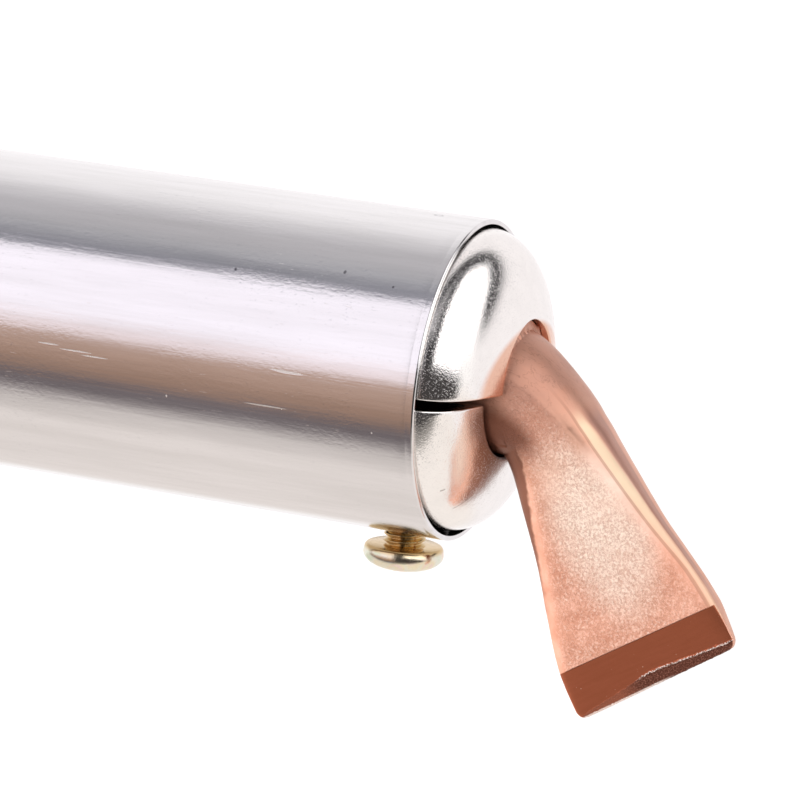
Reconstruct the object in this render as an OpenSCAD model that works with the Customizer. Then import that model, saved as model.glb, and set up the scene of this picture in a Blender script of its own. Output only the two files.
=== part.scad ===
// Electric soldering iron with a bent copper bit held by two clamped nose jaws.
// Modelled along its own axis: x = 0 is the front rim of the barrel, +x runs
// towards the bit and the clamp screw points along -z. The whole tool is then
// rolled on its side, the way it lies on a bench: barrel, handle and the
// lowest corner of the blade on z = 0, with the tool's axis horizontal.

/* [Barrel] */
// Outside diameter of the barrel
barrel_d = 38; // [38:0.5:40]
// Length of the barrel tube
barrel_l = 132; // [130:1:140]
// Wall thickness of the barrel tube
barrel_wall = 0.6; // [0.5:0.1:0.7]

/* [Nose jaws] */
// Radial gap between the jaws and the inside of the barrel
jaw_gap = 0.3; // [0.3:0.1:0.5]
// Sheet thickness of the jaws
jaw_wall = 1.2; // [1:0.1:1.4]
// Height of the dome of the jaws
jaw_dome = 8.5; // [8:0.1:9]
// Roundness exponent of the upper dome
upper_round = 2.4; // [2.2:0.1:2.8]
// Roundness exponent of the lower dome
lower_round = 3.5; // [3:0.1:4]
// How far the lower jaw sits behind the upper one
lower_recess = 1.8; // [1.6:0.1:1.9]
// How far the lower jaw is pressed towards the bit
lower_lift = 0.2; // [0.1:0.1:0.4]
// Slight twist of the lower jaw about the screw axis
lower_twist = 3.8; // [0:0.2:4]
// Distance of the upper jaw's cut from the split plane
upper_cut = 0.45; // [0.4:0.05:0.6]
// Distance of the lower jaw's cut from the split plane
lower_cut = 0.85; // [0.7:0.05:1]

/* [Copper bit] */
// Diameter of the round shank
shank_d = 16; // [15.9:0.05:16]
// Depth of the shank behind the barrel's rim
shank_in = 95; // [80:1:96]
// Where the neck starts to bend, in front of the rim
bend_start = 3; // [3:0.1:4]
// Length of the bend along the neck
bend_l = 9.4; // [9:0.1:11]
// Angle of the bend
bend_angle = 61; // [55:0.5:61]
// Length from the start of the bend to the working edge
blade_l = 41; // [38:0.1:41]
// Slant of the working edge
edge_slant = 4.8; // [4:0.1:6]
// Half width of the blade at its working edge
edge_half_w = 10.9; // [9:0.1:10.9]
// Length of the ground bevel
bevel_l = 5.8; // [4:0.1:6]
// Thickness left at the working edge
edge_t = 1; // [0.8:0.1:1.4]

/* [Clamp screw] */
// Thread diameter of the clamp screw
screw_d = 5; // [4.8:0.1:5]
// Distance of the screw axis behind the rim
screw_x = 6.9; // [6.8:0.1:7.2]
// Distance of the head's underside from the tool axis
head_seat = 20.8; // [20.6:0.1:21.2]
// Diameter of the pan head
head_d = 9.6; // [9:0.1:10]
// Height of the pan head
head_h = 3; // [2.8:0.1:3.8]

/* [Heater] */
// Bore of the heater's steel sleeve
sleeve_bore = 16.1; // [16.1:0.02:16.14]
// Diameter of the resistance wire
wire_d = 0.6; // [0.4:0.1:0.6]
// Turns in each of the two layers of the winding
turns = 10; // [6:1:10]

/* [Neck and handle] */
// Outside diameter of the neck tube
neck_d = 20; // [19.6:0.1:20]
// Diameter of the vent holes in the neck
vent_d = 5; // [4:0.5:6]
// Largest diameter of the wooden handle
grip_d = 37.2; // [36:0.2:38]
// Bore of the cord bush
cord_bore = 8; // [7:0.5:9]

/* [Hidden] */

shank_r = shank_d / 2;
// half widths at even stations from the neck to the working edge
half_w = [shank_r - 0.04, 5.56, 6.3, 7.2, 8.2, 9.6, edge_half_w - 0.2, edge_half_w];
// half thicknesses at the same stations, before the bevel
half_t = [shank_r - 0.04, 7.1, 5.1, 3.65, 2.5, 1.9, 1.7, 1.6];
// squareness of the section at the same stations
square = [2, 2.2, 2.6, 3.2, 4, 5, 6, 6];

barrel_r = barrel_d / 2;
bore_r = barrel_r - barrel_wall;
jaw_r = bore_r - jaw_gap;
neck_r = neck_d / 2;
xb = -barrel_l;                 // rear end of the barrel
xh = xb - 54;                   // front end of the handle's ferrule
xe = xb - 180;                  // rear end of the wood
zinc = [0.80, 0.72, 0.42];
steel = [0.72, 0.72, 0.74];
nickel = [0.88, 0.87, 0.85];
brass_c = [0.80, 0.65, 0.30];

// ---------- helpers ----------
// a solid of revolution about the tool axis, from [radius, x] points
module rev(p, f = 96) rotate([0, 90, 0]) rotate_extrude($fn = f) polygon(p);
module tube(x0, x1, ri, ro, f = 96)
    translate([x0, 0, 0]) rotate([0, 90, 0]) difference() {
        cylinder(r = ro, h = x1 - x0, $fn = f);
        translate([0, 0, -1]) cylinder(r = ri, h = x1 - x0 + 2, $fn = f);
    }
module rod(x0, x1, r, f = 48)
    translate([x0, 0, 0]) rotate([0, 90, 0]) cylinder(r = r, h = x1 - x0, $fn = f);
// something placed on the z axis is turned to point outwards at angle a, at x
module radial(x, a) translate([x, 0, 0]) rotate([a - 90, 0, 0]) children();
// a pan-head screw along +z, head's underside at z = 0
module pan(d, l, hd, hh) {
    difference() {
        rotate_extrude($fn = 48) polygon(concat(
            [[0, 0], [hd * 0.457, 0], [hd * 0.489, hh * 0.117]],
            [for (t = [0:9:90]) [hd / 2 * pow(cos(t), 0.8), hh * (0.32 + 0.68 * pow(sin(t), 0.9))]]));
        for (a = [45, 135]) rotate([0, 0, a])
            translate([-hd * 0.29, -hd * 0.052, hh * 0.42]) cube([hd * 0.58, hd * 0.104, hh]);
    }
    translate([0, 0, -l]) cylinder(r = d / 2, h = l + 0.3, $fn = 48);
}
function easet(t) = t < 0 ? 0 : t > 1 ? 1 : t;
// a smooth curve through evenly spaced values
function ext(v, i) = i < 0 ? 2 * v[0] - v[1]
    : i >= len(v) ? 2 * v[len(v) - 1] - v[len(v) - 2] : v[i];
function smooth(v, t) = let (k = len(v) - 1, x = easet(t) * k,
    i = min(floor(x), k - 1), f = x - i,
    a = ext(v, i - 1), b = v[i], c = v[i + 1], d = ext(v, i + 2))
    0.5 * (2 * b + (c - a) * f + (2 * a - 5 * b + 4 * c - d) * f * f
    + (3 * b - a - 3 * c + d) * f * f * f);
function spow(v, e) = v < 0 ? -pow(-v, e) : pow(v, e);
// rings of points joined into a closed solid
module loft(rings) {
    m = len(rings[0]); k = len(rings);
    polyhedron(points = [for (r = rings) each r],
        faces = concat([[for (i = [m - 1:-1:0]) i]],
            [for (j = [0:k - 2]) for (i = [0:m - 1]) each [
                [j * m + i, j * m + (i + 1) % m, (j + 1) * m + (i + 1) % m],
                [j * m + i, (j + 1) * m + (i + 1) % m, (j + 1) * m + i]]],
            [[for (i = [0:m - 1]) (k - 1) * m + i]]), convexity = 6);
}

// ---------- copper bit ----------
stations = 36;
ring_n = 48;
corner_r = 1.2;
function heading(l) = bend_angle * easet(l / bend_l);
// middle line of the blade: an arc, then straight on
bend_rad = bend_l / bend_angle * 180 / PI;
function mid(l) = [bend_start, 0] + bend_rad * [sin(heading(l)), 1 - cos(heading(l))]
    + max(0, l - bend_l) * [cos(bend_angle), sin(bend_angle)];
// lengths of the stations, closer together where the corners are rounded
blade_ls = concat([for (i = [0:stations]) (blade_l - corner_r) * i / stations],
    [for (f = [0.35, 0.65, 0.87, 1]) blade_l - corner_r * (1 - f)]);
function corner(l) = let (f = (l - blade_l + corner_r) / corner_r)
    f <= 0 ? 0 : corner_r * (1 - sqrt(max(0, 1 - 0.96 * f * f)));
function bevel_t(l) = let (l0 = blade_l - bevel_l, t0 = smooth(half_t, l0 / blade_l))
    l <= l0 ? smooth(half_t, l / blade_l)
    : t0 + (edge_t / 2 - t0) * (l - l0) / bevel_l;
// the neck is fuller on the inside of the bend, but still fits the jaws' hole
function hump(l, c, w) = exp(-pow((l - c) / w, 2));
function heel(l) = 1.5 * hump(l, 7, 2.5) + 0.5 * hump(l, 3.6, 1.7);
function hole_fit(p) = let (r = norm([p[1], p[2]]),
    lim = p[0] > 6.6 ? 99 : shank_r + 2 * max(0, p[0] - 5) * easet((5.5 - abs(p[1])) / 2),
    k = min(1, lim / r)) [p[0], k * p[1], k * p[2]];
function section(l) = let (c = mid(l), t = l / blade_l,
    o = heading(l) - edge_slant * t * t, w = smooth(half_w, t) - corner(l),
    h = bevel_t(l) + 0.3 * hump(l, 3, 1.6), m = smooth(square, t), mi = m + 0.4 * hump(l, 4.5, 2.5))
    [for (q = [0:ring_n - 1]) let (a = 360 * q / ring_n,
        e = 2 / (cos(a) > 0 ? mi : m),
        u = (cos(a) > 0 ? w + heel(l) : w) * spow(cos(a), e), v = -h * spow(sin(a), e))
        hole_fit([c[0] - sin(o) * u, v, -(c[1] + cos(o) * u)])];
blade_rings = concat(
    [[for (q = [0:ring_n - 1]) let (a = 360 * q / ring_n)
        [bend_start - 2, -(shank_r - 0.04) * sin(a), -(shank_r - 0.04) * cos(a)]]],
    [for (l = blade_ls) section(l)]);
blade_pts = [for (r = blade_rings) each r];

// ---------- how the tool lies on the bench ----------
// roll at which the blade's lowest corner meets the bench
function touch(p) = let (s = -p[2], g = abs(p[1]), q = sqrt(s * s + g * g))
    s <= 0 || q <= barrel_r ? 90 : asin(barrel_r / q) - atan2(g, s);
rest_roll = min([for (p = blade_pts) touch(p)]);
tip_x = max([for (p = blade_pts) p[0]]);
mid_x = (tip_x + xe - 12) / 2;
mid_y = (barrel_r + min([for (p = blade_pts) p[1] * sin(rest_roll) + p[2] * cos(rest_roll)])) / 2;
module place() translate([-mid_x, -mid_y, barrel_r]) rotate([rest_roll - 90, 0, 0]) children();

// ---------- sub-parts ----------
module barrel() color([0.82, 0.82, 0.84]) place() difference() {
    tube(xb, 0, bore_r, barrel_r, 128);
    translate([-screw_x, 0, -barrel_r - 3]) cylinder(r = screw_d / 2 + 0.25, h = 6, $fn = 48);
    for (a = cap_angles) radial(xb + 5, a) translate([0, 0, bore_r - 3]) cylinder(r = 1.6, h = 6, $fn = 32);
}
cap_angles = [31, 151, 271];

module clamp_nut_plate() color(steel) place() difference() {
    translate([-screw_x - 3.5, -5.5, -sqrt(pow(bore_r - 0.02, 2) - 5.5 * 5.5)]) cube([7, 11, 2.6]);
    translate([-screw_x, 0, -bore_r - 1]) cylinder(r = screw_d / 2 + 0.05, h = 6, $fn = 48);
}

// outer and inner skins of a jaw's dome, from the rim to the hole
function skin(m, r, h, r_in, x0) = [for (t = [90:-3:0])
    let (q = r * pow(sin(t), 2 / m)) if (q > r_in + 0.05) [q, x0 + h * pow(cos(t), 2 / m)]];
function skin_x(m, r, h, q, x0) = x0 + h * pow(1 - pow(q / r, m), 1 / m);
module jaw_body(m, hole, hub_r, hub_x, lip, f) {
    x0 = -1.2;
    ri = jaw_r - jaw_wall; hi = jaw_dome - jaw_wall - 0.1;
    xe0 = skin_x(m, jaw_r, jaw_dome, hole + f, x0);
    outer = skin(m, jaw_r, jaw_dome, hole + f, x0);
    inner = skin(m, ri, hi, hub_r, x0);
    rev(concat(outer,
        [for (t = [0:15:90]) [hole + f - f * sin(t), xe0 - f + f * cos(t)]],
        [[hole, hub_x], [hub_r, hub_x]],
        [[hub_r, skin_x(m, ri, hi, hub_r, x0)]],
        [for (i = [len(inner) - 1:-1:0]) inner[i]],
        [[ri, x0 - lip], [jaw_r, x0 - lip]]), 128);
}
module nose_upper_jaw() color(nickel) place() {
    intersection() {
        jaw_body(upper_round, shank_r + 0.1, 10.4, -14, 1.9, 0.3);
        translate([-30, -30, upper_cut]) cube([60, 60, 60]);
    }
    translate([-14, -3, 9.6]) cube([10, 6, sqrt(pow(bore_r - 0.05, 2) - 9) - 9.6]);
}
module nose_lower_jaw() color(nickel) place() difference() {
    union() {
        intersection() {
            translate([-lower_recess, 0, lower_lift]) rotate([0, 0, -lower_twist])
                jaw_body(lower_round, shank_r - 0.6, 10, 2, 0.9, 0.7);
            translate([-30, -30, -60 - lower_cut]) cube([60, 60, 60]);
        }
        // tongue that the screw presses on, lying on the shank
        translate([-12, -3.5, tongue_z]) cube([16.4, 7, -shank_r - 0.03 - tongue_z]);
    }
    rod(-20, 20, shank_r + 0.12, 96);
    // rounded mouth of the hole
    rev([[0, 4.8], [shank_r + 0.12, 4.8], [shank_r + 0.2, 5.1], [shank_r + 0.4, 5.35], [shank_r + 0.4, 12], [0, 12]], 96);
    // room for the threaded plate
    translate([-12, -6.2, -20]) cube([8.9, 12.4, 6.5]);
}
tongue_z = -head_seat + 10.3;

module soldering_bit() color([0.86, 0.56, 0.42]) place() {
    rev([[0, -shank_in], [shank_r - 1, -shank_in], [shank_r, -shank_in + 1], [shank_r, bend_start - 0.6], [0, bend_start - 0.6]]);
    loft(blade_rings);
}

module clamp_screw() color(zinc) place() translate([-screw_x, 0, -head_seat])
    rotate([180, 0, 0]) pan(screw_d, 10.25, head_d, head_h);

module front_spacer_ring() color(steel) place()
    rev([[8.95, -21], [18.3, -21], [18.3, -16], [17.4, -16], [17.4, -19.8], [8.95, -19.8]]);
module rear_spacer_ring() color(steel) place() difference() {
    rev([[8.95, -117], [8.95, -115.8], [18.3, -115.8], [18.3, -121], [17.4, -121], [17.4, -117]]);
    for (s = [-1, 1]) translate([0, s * 10.2, 0]) rod(-118, -115, 1.5, 32);
}
module heater_sleeve() color([0.6, 0.58, 0.56]) place() tube(-119, -17, sleeve_bore / 2, 8.9);
module mica_inner_sleeve() color([0.75, 0.65, 0.45]) place() tube(-109, -24, 8.95, 9.45);
module mica_outer_sleeve() color([0.75, 0.65, 0.45]) place() tube(-109, -24, 10.25, 10.8);
module heater_jacket() color([0.55, 0.54, 0.53]) place()
    rev([[10.85, -114.5], [10.85, -22], [11.6, -22], [11.9, -22.6], [11.6, -23.2], [11.6, -113.3], [11.9, -113.9], [11.6, -114.5]]);

// two screw lines between each other, both starting at the rear, joined in front
wr = 9.88;
wx0 = -107; wx1 = -30;
wpitch = (wx1 - wx0) / turns;
wn = 24;
function leg(a0) = concat(
    [[wx0 - 2.6, a0], [wx0 - 1.7, a0 + 0.8], [wx0 - 0.9, a0 + 3.5], [wx0 - 0.2, a0 + 8]],
    [for (i = [1:turns * wn]) [wx0 + wpitch * i / wn, a0 + 360 * i / wn]]);
function bridge(a0) = [for (i = [1:wn / 2]) [wx1 + 1.2 * sin(360 * i / wn), a0 + 360 * i / wn]];
function on_cyl(p) = [p[0], wr * cos(p[1]), wr * sin(p[1])];
function unit(v) = v / norm(v);
module wire(path, d, k = 6) {
    n = len(path);
    pts = [for (p = path) on_cyl(p)];
    loft([for (i = [0:n - 1]) let (
        t = unit(pts[min(i + 1, n - 1)] - pts[max(i - 1, 0)]),
        r = [0, cos(path[i][1]), sin(path[i][1])],
        b = unit(cross(t, r)), r2 = cross(b, t))
        [for (q = [0:k - 1]) pts[i] + d / 2 * (r2 * cos(360 * q / k) - b * sin(360 * q / k))]]);
}
module heater_winding() color([0.45, 0.44, 0.43]) place() {
    wire(concat(leg(0), bridge(360 * turns)), wire_d);
    wire(leg(180), wire_d);
}

// a thin wire through hand-set points
module lead(p, d, k = 8) {
    n = len(p);
    loft([for (i = [0:n - 1]) let (t = unit(p[min(i + 1, n - 1)] - p[max(i - 1, 0)]),
        b = unit(cross(t, [0, 0, 1])), u = cross(b, t))
        [for (q = [0:k - 1]) p[i] + d / 2 * (u * cos(360 * q / k) - b * sin(360 * q / k))]]);
}
module heater_leads() color([0.6, 0.6, 0.6]) place() for (s = [-1, 1])
    lead([[wx0 - 2.65, s * wr, 0], [-121, s * wr, 0], [-123, s * 9.6, -0.05], [-125, s * 8.6, -0.2],
        [xb + 1, s * 5.4, -0.6], [xb - 1, s * 4.6, -0.8], [xb - 4, s * 4.1, -0.95], [xb - 7, s * 4, -1],
        [xb - 119, s * 4, -1]], 1);
module ceramic_beads() color([0.93, 0.91, 0.86]) place() for (s = [-1, 1]) for (i = [0:8])
    translate([0, s * 4, -1]) rev([[0.6, xb - 17.5 - 10 * i], [1.5, xb - 17.5 - 10 * i],
        [1.9, xb - 16.9 - 10 * i], [1.9, xb - 8.6 - 10 * i], [1.5, xb - 8 - 10 * i], [0.6, xb - 8 - 10 * i]], 32);

module barrel_rear_cap() color([0.80, 0.80, 0.82]) place() difference() {
    rev([[bore_r - 0.05, xb + 9], [bore_r - 0.05, xb], [barrel_r, xb], [barrel_r, xb - 0.7],
        [barrel_r - 1, xb - 2.4], [barrel_r - 3.5, xb - 4.4], [barrel_r - 6, xb - 5.8],
        [neck_r + 2.2, xb - 7], [neck_r + 1.4, xb - 8.6], [neck_r + 1.2, xb - 10], [neck_r + 1.2, xb - 15],
        [neck_r + 0.1, xb - 15], [neck_r + 0.1, xb - 7.8], [neck_r + 1.4, xb - 6], [barrel_r - 6.3, xb - 4.7],
        [barrel_r - 3.8, xb - 3.3], [bore_r - 1, xb - 1], [bore_r - 1, xb + 9]], 128);
    for (a = cap_angles) radial(xb + 5, a) translate([0, 0, bore_r - 3]) cylinder(r = 1.55, h = 4, $fn = 32);
    for (a = rivet_angles) radial(xb - 12.5, a) translate([0, 0, neck_r - 1]) cylinder(r = 1.25, h = 4, $fn = 32);
}
rivet_angles = [30.5, 150.5, 270.5];
module rear_cap_screws() color(steel) place() for (a = cap_angles)
    radial(xb + 5, a) translate([0, 0, barrel_r + 0.05]) pan(3, 3.4, 5.5, 1.7);

module neck_tube() color([0.70, 0.70, 0.72]) place() difference() {
    tube(xb - 82, xb - 6, neck_r - 0.8, neck_r, 96);
    for (j = [0:2]) for (i = [0:2]) translate([xb - 24 - 10 * j, 0, 0]) rotate([60 * i + 30 * (j % 2), 0, 0])
        translate([0, 0, -neck_r - 2]) cylinder(r = vent_d / 2, h = 2 * neck_r + 4, $fn = 40);
    for (a = rivet_angles) radial(xb - 12.5, a) translate([0, 0, neck_r - 3]) cylinder(r = 1.25, h = 6, $fn = 32);
    for (a = ferrule_angles) radial(xh - 9, a) translate([0, 0, neck_r - 3]) cylinder(r = 1.45, h = 6, $fn = 32);
    translate([xb - 74, 0, -neck_r - 2]) cylinder(r = 1.25, h = 4, $fn = 32);
}
module neck_rivets() color(steel) place() for (a = rivet_angles) radial(xb - 12.5, a) {
    translate([0, 0, neck_r - 1.4]) cylinder(r = 1.2, h = 3, $fn = 32);
    translate([0, 0, neck_r + 1.25]) rotate_extrude($fn = 32)
        polygon([[0, 0], [2.3, 0], [2.2, 0.4], [1.7, 0.8], [0.9, 1.05], [0, 1.1]]);
    translate([0, 0, neck_r - 1.75]) cylinder(r = 2, h = 0.6, $fn = 32);
}

ferrule_angles = [60.5, 240.5];
module handle_ferrule() color([0.75, 0.75, 0.76]) place() difference() {
    rev([[neck_r + 0.15, xh + 0.8], [12.6, xh + 0.8], [13.4, xh + 0.5], [13.8, xh - 0.4],
        [13.8, xh - 17], [14.1, xh - 17.4], [14.1, xh - 18], [13.05, xh - 18], [13.05, xh], [neck_r + 0.15, xh]]);
    for (a = ferrule_angles) radial(xh - 9, a) translate([0, 0, 11]) cylinder(r = 1.5, h = 5, $fn = 32);
}
module ferrule_screws() color(steel) place() for (a = ferrule_angles)
    radial(xh - 9, a) translate([0, 0, 13.85]) pan(2.8, 5, 5.2, 1.6);

grip_r = grip_d / 2;
// outline of the turned wood behind the ferrule
function grip(x) = smooth([15.6, grip_r - 0.6, grip_r - 2.6, grip_r - 3.4, grip_r - 2.2, grip_r - 0.7,
    grip_r, grip_r - 0.1, grip_r - 0.4, grip_r - 0.9, 17.1], (x - xh + 18.1) / (xe - xh + 18.1));
module wooden_handle() color([0.72, 0.47, 0.27]) place() difference() {
    rev(concat([[neck_r + 0.05, xh - 0.05], [13, xh - 0.05], [13, xh - 18.1]],
        [for (i = [0:44]) let (x = xh - 18.1 + (xe - xh + 18.1) * i / 44) [grip(x), x]],
        [[11.5, xe], [11.5, xb - 82.5], [neck_r + 0.05, xb - 82.5]]), 128);
    for (a = ferrule_angles) radial(xh - 9, a) translate([0, 0, neck_r - 2]) cylinder(r = 1.45, h = 6, $fn = 32);
    for (s = [-1, 1]) translate([0, s * 13.3, 0]) rod(xe - 1, xe + 12, 1.3, 32);
}

// metal strip that carries the terminals, riveted inside the neck
module terminal_bracket() color(steel) place() difference() {
    translate([xb - 131, -4, -8]) cube([63, 8, 1]);
    translate([xb - 74, 0, -10]) cylinder(r = 1.25, h = 4, $fn = 32);
    translate([xb - 90, 0, -10]) cylinder(r = 1.55, h = 4, $fn = 32);
    translate([xb - 116, 0, -10]) cylinder(r = 1.55, h = 4, $fn = 32);
}
module bracket_rivet() color(steel) place() translate([xb - 74, 0, 0]) {
    translate([0, 0, -neck_r + 0.1]) cylinder(r = 1.2, h = 3.2, $fn = 32);
    translate([0, 0, -6.95]) cylinder(r = 2, h = 0.9, $fn = 32);
}
module earth_screw() color(brass_c) place() translate([xb - 90, 0, -6.1]) {
    pan(3, 4.4, 5.5, 1.7);
    translate([0, 0, -0.85]) difference() {
        cylinder(r = 3.2, h = 0.85, $fn = 48);
        translate([0, 0, -1]) cylinder(r = 1.5, h = 3, $fn = 48);
    }
}
module terminal_block() color([0.92, 0.90, 0.86]) place() difference() {
    translate([xb - 126, -8, -6.95]) cube([20, 16, 10.95]);
    for (s = [-1, 1]) translate([0, s * 4, -1]) rod(xb - 128, xb - 104, 2.55, 48);
    for (s = [-1, 1]) for (x = [-121, -111]) translate([xb + x, s * 4, 0]) cylinder(r = 1.5, h = 6, $fn = 32);
    translate([xb - 116, 0, -8]) cylinder(r = 1.4, h = 14, $fn = 32);
}
module terminal_sleeves() color(brass_c) place() for (s = [-1, 1]) difference() {
    translate([0, s * 4, -1]) tube(xb - 125, xb - 107, 1.2, 2.5, 48);
    for (x = [-121, -111]) translate([xb + x, s * 4, -0.6]) cylinder(r = 1.25, h = 6.6, $fn = 32);
}
module terminal_screws() color(brass_c) place() for (s = [-1, 1]) for (x = [-121, -111])
    translate([xb + x, s * 4, 0]) difference() {
        translate([0, 0, -0.4]) cylinder(r = 1.2, h = 4.8, $fn = 32);
        translate([-1.5, -0.25, 3.7]) cube([3, 0.5, 2]);
    }
module block_screw() color(steel) place() translate([xb - 116, 0, 4.05]) difference() {
    union() {
        cylinder(r = 2.4, h = 1.5, $fn = 40);
        translate([0, 0, -12.9]) cylinder(r = 1.35, h = 13.2, $fn = 32);
    }
    translate([-3, -0.35, 0.8]) cube([6, 0.7, 2]);
}

module handle_end_cap() color([0.10, 0.09, 0.09]) place() difference() {
    union() {
        rev([[0, xe + 6], [11.4, xe + 6], [11.4, xe - 0.05], [17, xe - 0.05], [17, xe - 3.4],
            [16.75, xe - 4.7], [16, xe - 5.9], [15, xe - 6.5], [13.5, xe - 6.8], [0, xe - 6.8]]);
        // shelf that the cord is clamped on
        translate([xe + 5, -8.3, -7.5]) cube([15, 16.6, 3]);
    }
    rod(xe - 8, xe + 8, 6.5, 64);
    rod(xe + 6.02, xe + 9, 7.8, 64);
    for (s = [-1, 1]) translate([0, s * 13.3, 0]) {
        rod(xe - 8, xe + 1, 1.4, 32);
        rod(xe - 8, xe - 4.2, 2.7, 32);
    }
    for (s = [-1, 1]) translate([xe + 14, s * 6, -9]) cylinder(r = 1.25, h = 6, $fn = 32);
}
module end_cap_screws() color(steel) place() for (s = [-1, 1]) translate([0, s * 13.3, 0]) difference() {
    union() {
        rod(xe - 4.25, xe + 10, 1.25, 32);
        rod(xe - 5.65, xe - 4.25, 2.5, 40);
    }
    translate([xe - 7, -0.35, -3]) cube([2.1, 0.7, 6]);
}
module cord_bush() color([0.06, 0.06, 0.065]) place()
    rev([[cord_bore / 2, xe + 8.2], [7.2, xe + 8.2], [7.6, xe + 7.6], [7.6, xe + 6.1], [6.4, xe + 6.1],
        [6.4, xe - 6.9], [8.6, xe - 6.9], [8.6, xe - 8], [8, xe - 8.8], [6.6, xe - 9.2], [5.9, xe - 12],
        [cord_bore / 2 + 0.5, xe - 12], [cord_bore / 2, xe - 11.5]], 96);
module cord_clamp_bar() color([0.45, 0.30, 0.18]) place() difference() {
    translate([xe + 10.5, -8.3, 2.8]) cube([7, 16.6, 2.4]);
    for (s = [-1, 1]) translate([xe + 14, s * 6, 0]) cylinder(r = 1.35, h = 8, $fn = 32);
}
module cord_clamp_screws() color(steel) place() for (s = [-1, 1])
    translate([xe + 14, s * 6, 5.25]) pan(2.4, 12.4, 4.6, 1.5);

barrel();
clamp_nut_plate();
nose_upper_jaw();
nose_lower_jaw();
soldering_bit();
clamp_screw();
front_spacer_ring();
rear_spacer_ring();
heater_sleeve();
mica_inner_sleeve();
heater_winding();
mica_outer_sleeve();
heater_jacket();
heater_leads();
ceramic_beads();
barrel_rear_cap();
rear_cap_screws();
neck_tube();
neck_rivets();
handle_ferrule();
ferrule_screws();
wooden_handle();
terminal_bracket();
bracket_rivet();
earth_screw();
terminal_block();
terminal_sleeves();
terminal_screws();
block_screw();
handle_end_cap();
end_cap_screws();
cord_bush();
cord_clamp_bar();
cord_clamp_screws();
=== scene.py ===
import math
import bpy
import bmesh
import numpy as np
from mathutils import Matrix, Vector, noise as mn


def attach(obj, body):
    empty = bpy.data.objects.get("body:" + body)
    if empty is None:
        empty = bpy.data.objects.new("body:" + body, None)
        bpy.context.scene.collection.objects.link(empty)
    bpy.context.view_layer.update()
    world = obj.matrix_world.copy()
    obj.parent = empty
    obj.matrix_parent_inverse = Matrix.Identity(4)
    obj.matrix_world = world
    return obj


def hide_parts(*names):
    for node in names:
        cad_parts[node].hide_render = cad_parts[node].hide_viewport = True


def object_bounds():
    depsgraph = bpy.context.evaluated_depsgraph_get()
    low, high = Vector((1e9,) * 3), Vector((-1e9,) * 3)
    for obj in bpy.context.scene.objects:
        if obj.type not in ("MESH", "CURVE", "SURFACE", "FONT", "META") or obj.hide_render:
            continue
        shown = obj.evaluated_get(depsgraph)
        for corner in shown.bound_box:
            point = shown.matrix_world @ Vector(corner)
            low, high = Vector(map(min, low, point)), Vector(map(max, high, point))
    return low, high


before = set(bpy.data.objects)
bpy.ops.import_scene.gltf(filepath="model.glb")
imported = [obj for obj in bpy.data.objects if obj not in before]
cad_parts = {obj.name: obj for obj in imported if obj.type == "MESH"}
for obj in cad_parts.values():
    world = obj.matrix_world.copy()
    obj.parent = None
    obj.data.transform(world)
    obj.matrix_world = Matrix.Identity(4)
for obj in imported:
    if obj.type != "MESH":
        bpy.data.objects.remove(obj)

CAD_BOX = [[float(c) for c in v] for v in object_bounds()]
rad = math.radians
RHO = 29.7283
ORIGIN = (0.144666, 0.00696674, 0.019)
TURN = Matrix.Rotation(rad(RHO - 90), 4, "X")
TOOL = Matrix.Translation(ORIGIN) @ TURN @ Matrix.Scale(0.001, 4)
TOOL_NP = np.array(TOOL)

# main dimensions, as in the part's source
R, RB = 19.0, 18.4                # barrel, outside and bore
XB, XH, XE = -132.0, -186.0, -312.0
JR, JW, JH = 18.1, 1.2, 8.5       # jaws: radius, sheet, dome
NR = 10.0                         # neck tube
SX, SEAT, HD, HH = 6.9, 20.8, 9.6, 3.0   # clamp screw: place, seat, head
BL, BEV, EDGE_T, CORNER = 41.0, 5.8, 1.0, 1.2   # blade: length, bevel, edge, corners

# ------------------------------------------------------------------ camera
cam_data = bpy.data.cameras.new("camera")
cam_data.lens = 202.5
cam_data.sensor_width = 36
cam_data.clip_start = 0.01
cam_data.clip_end = 60
cam = bpy.data.objects.new("camera", cam_data)
bpy.context.scene.collection.objects.link(cam)
_right, _up, _back = (0.92574, 0.36928, 0.08144), (-0.14662, 0.15201, 0.97744), (0.34857, -0.91680, 0.19487)
_place = Matrix([(_right[i], _up[i], _back[i], (0.17575, -0.48579, 0.09958)[i]) for i in range(3)] + [(0, 0, 0, 1)])
cam.matrix_world = (Matrix.Translation(ORIGIN) @ TURN @ _place).normalized()
bpy.context.scene.camera = cam
bpy.context.scene.view_settings.view_transform = "Standard"
bpy.context.scene.view_settings.look = "None"


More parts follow.
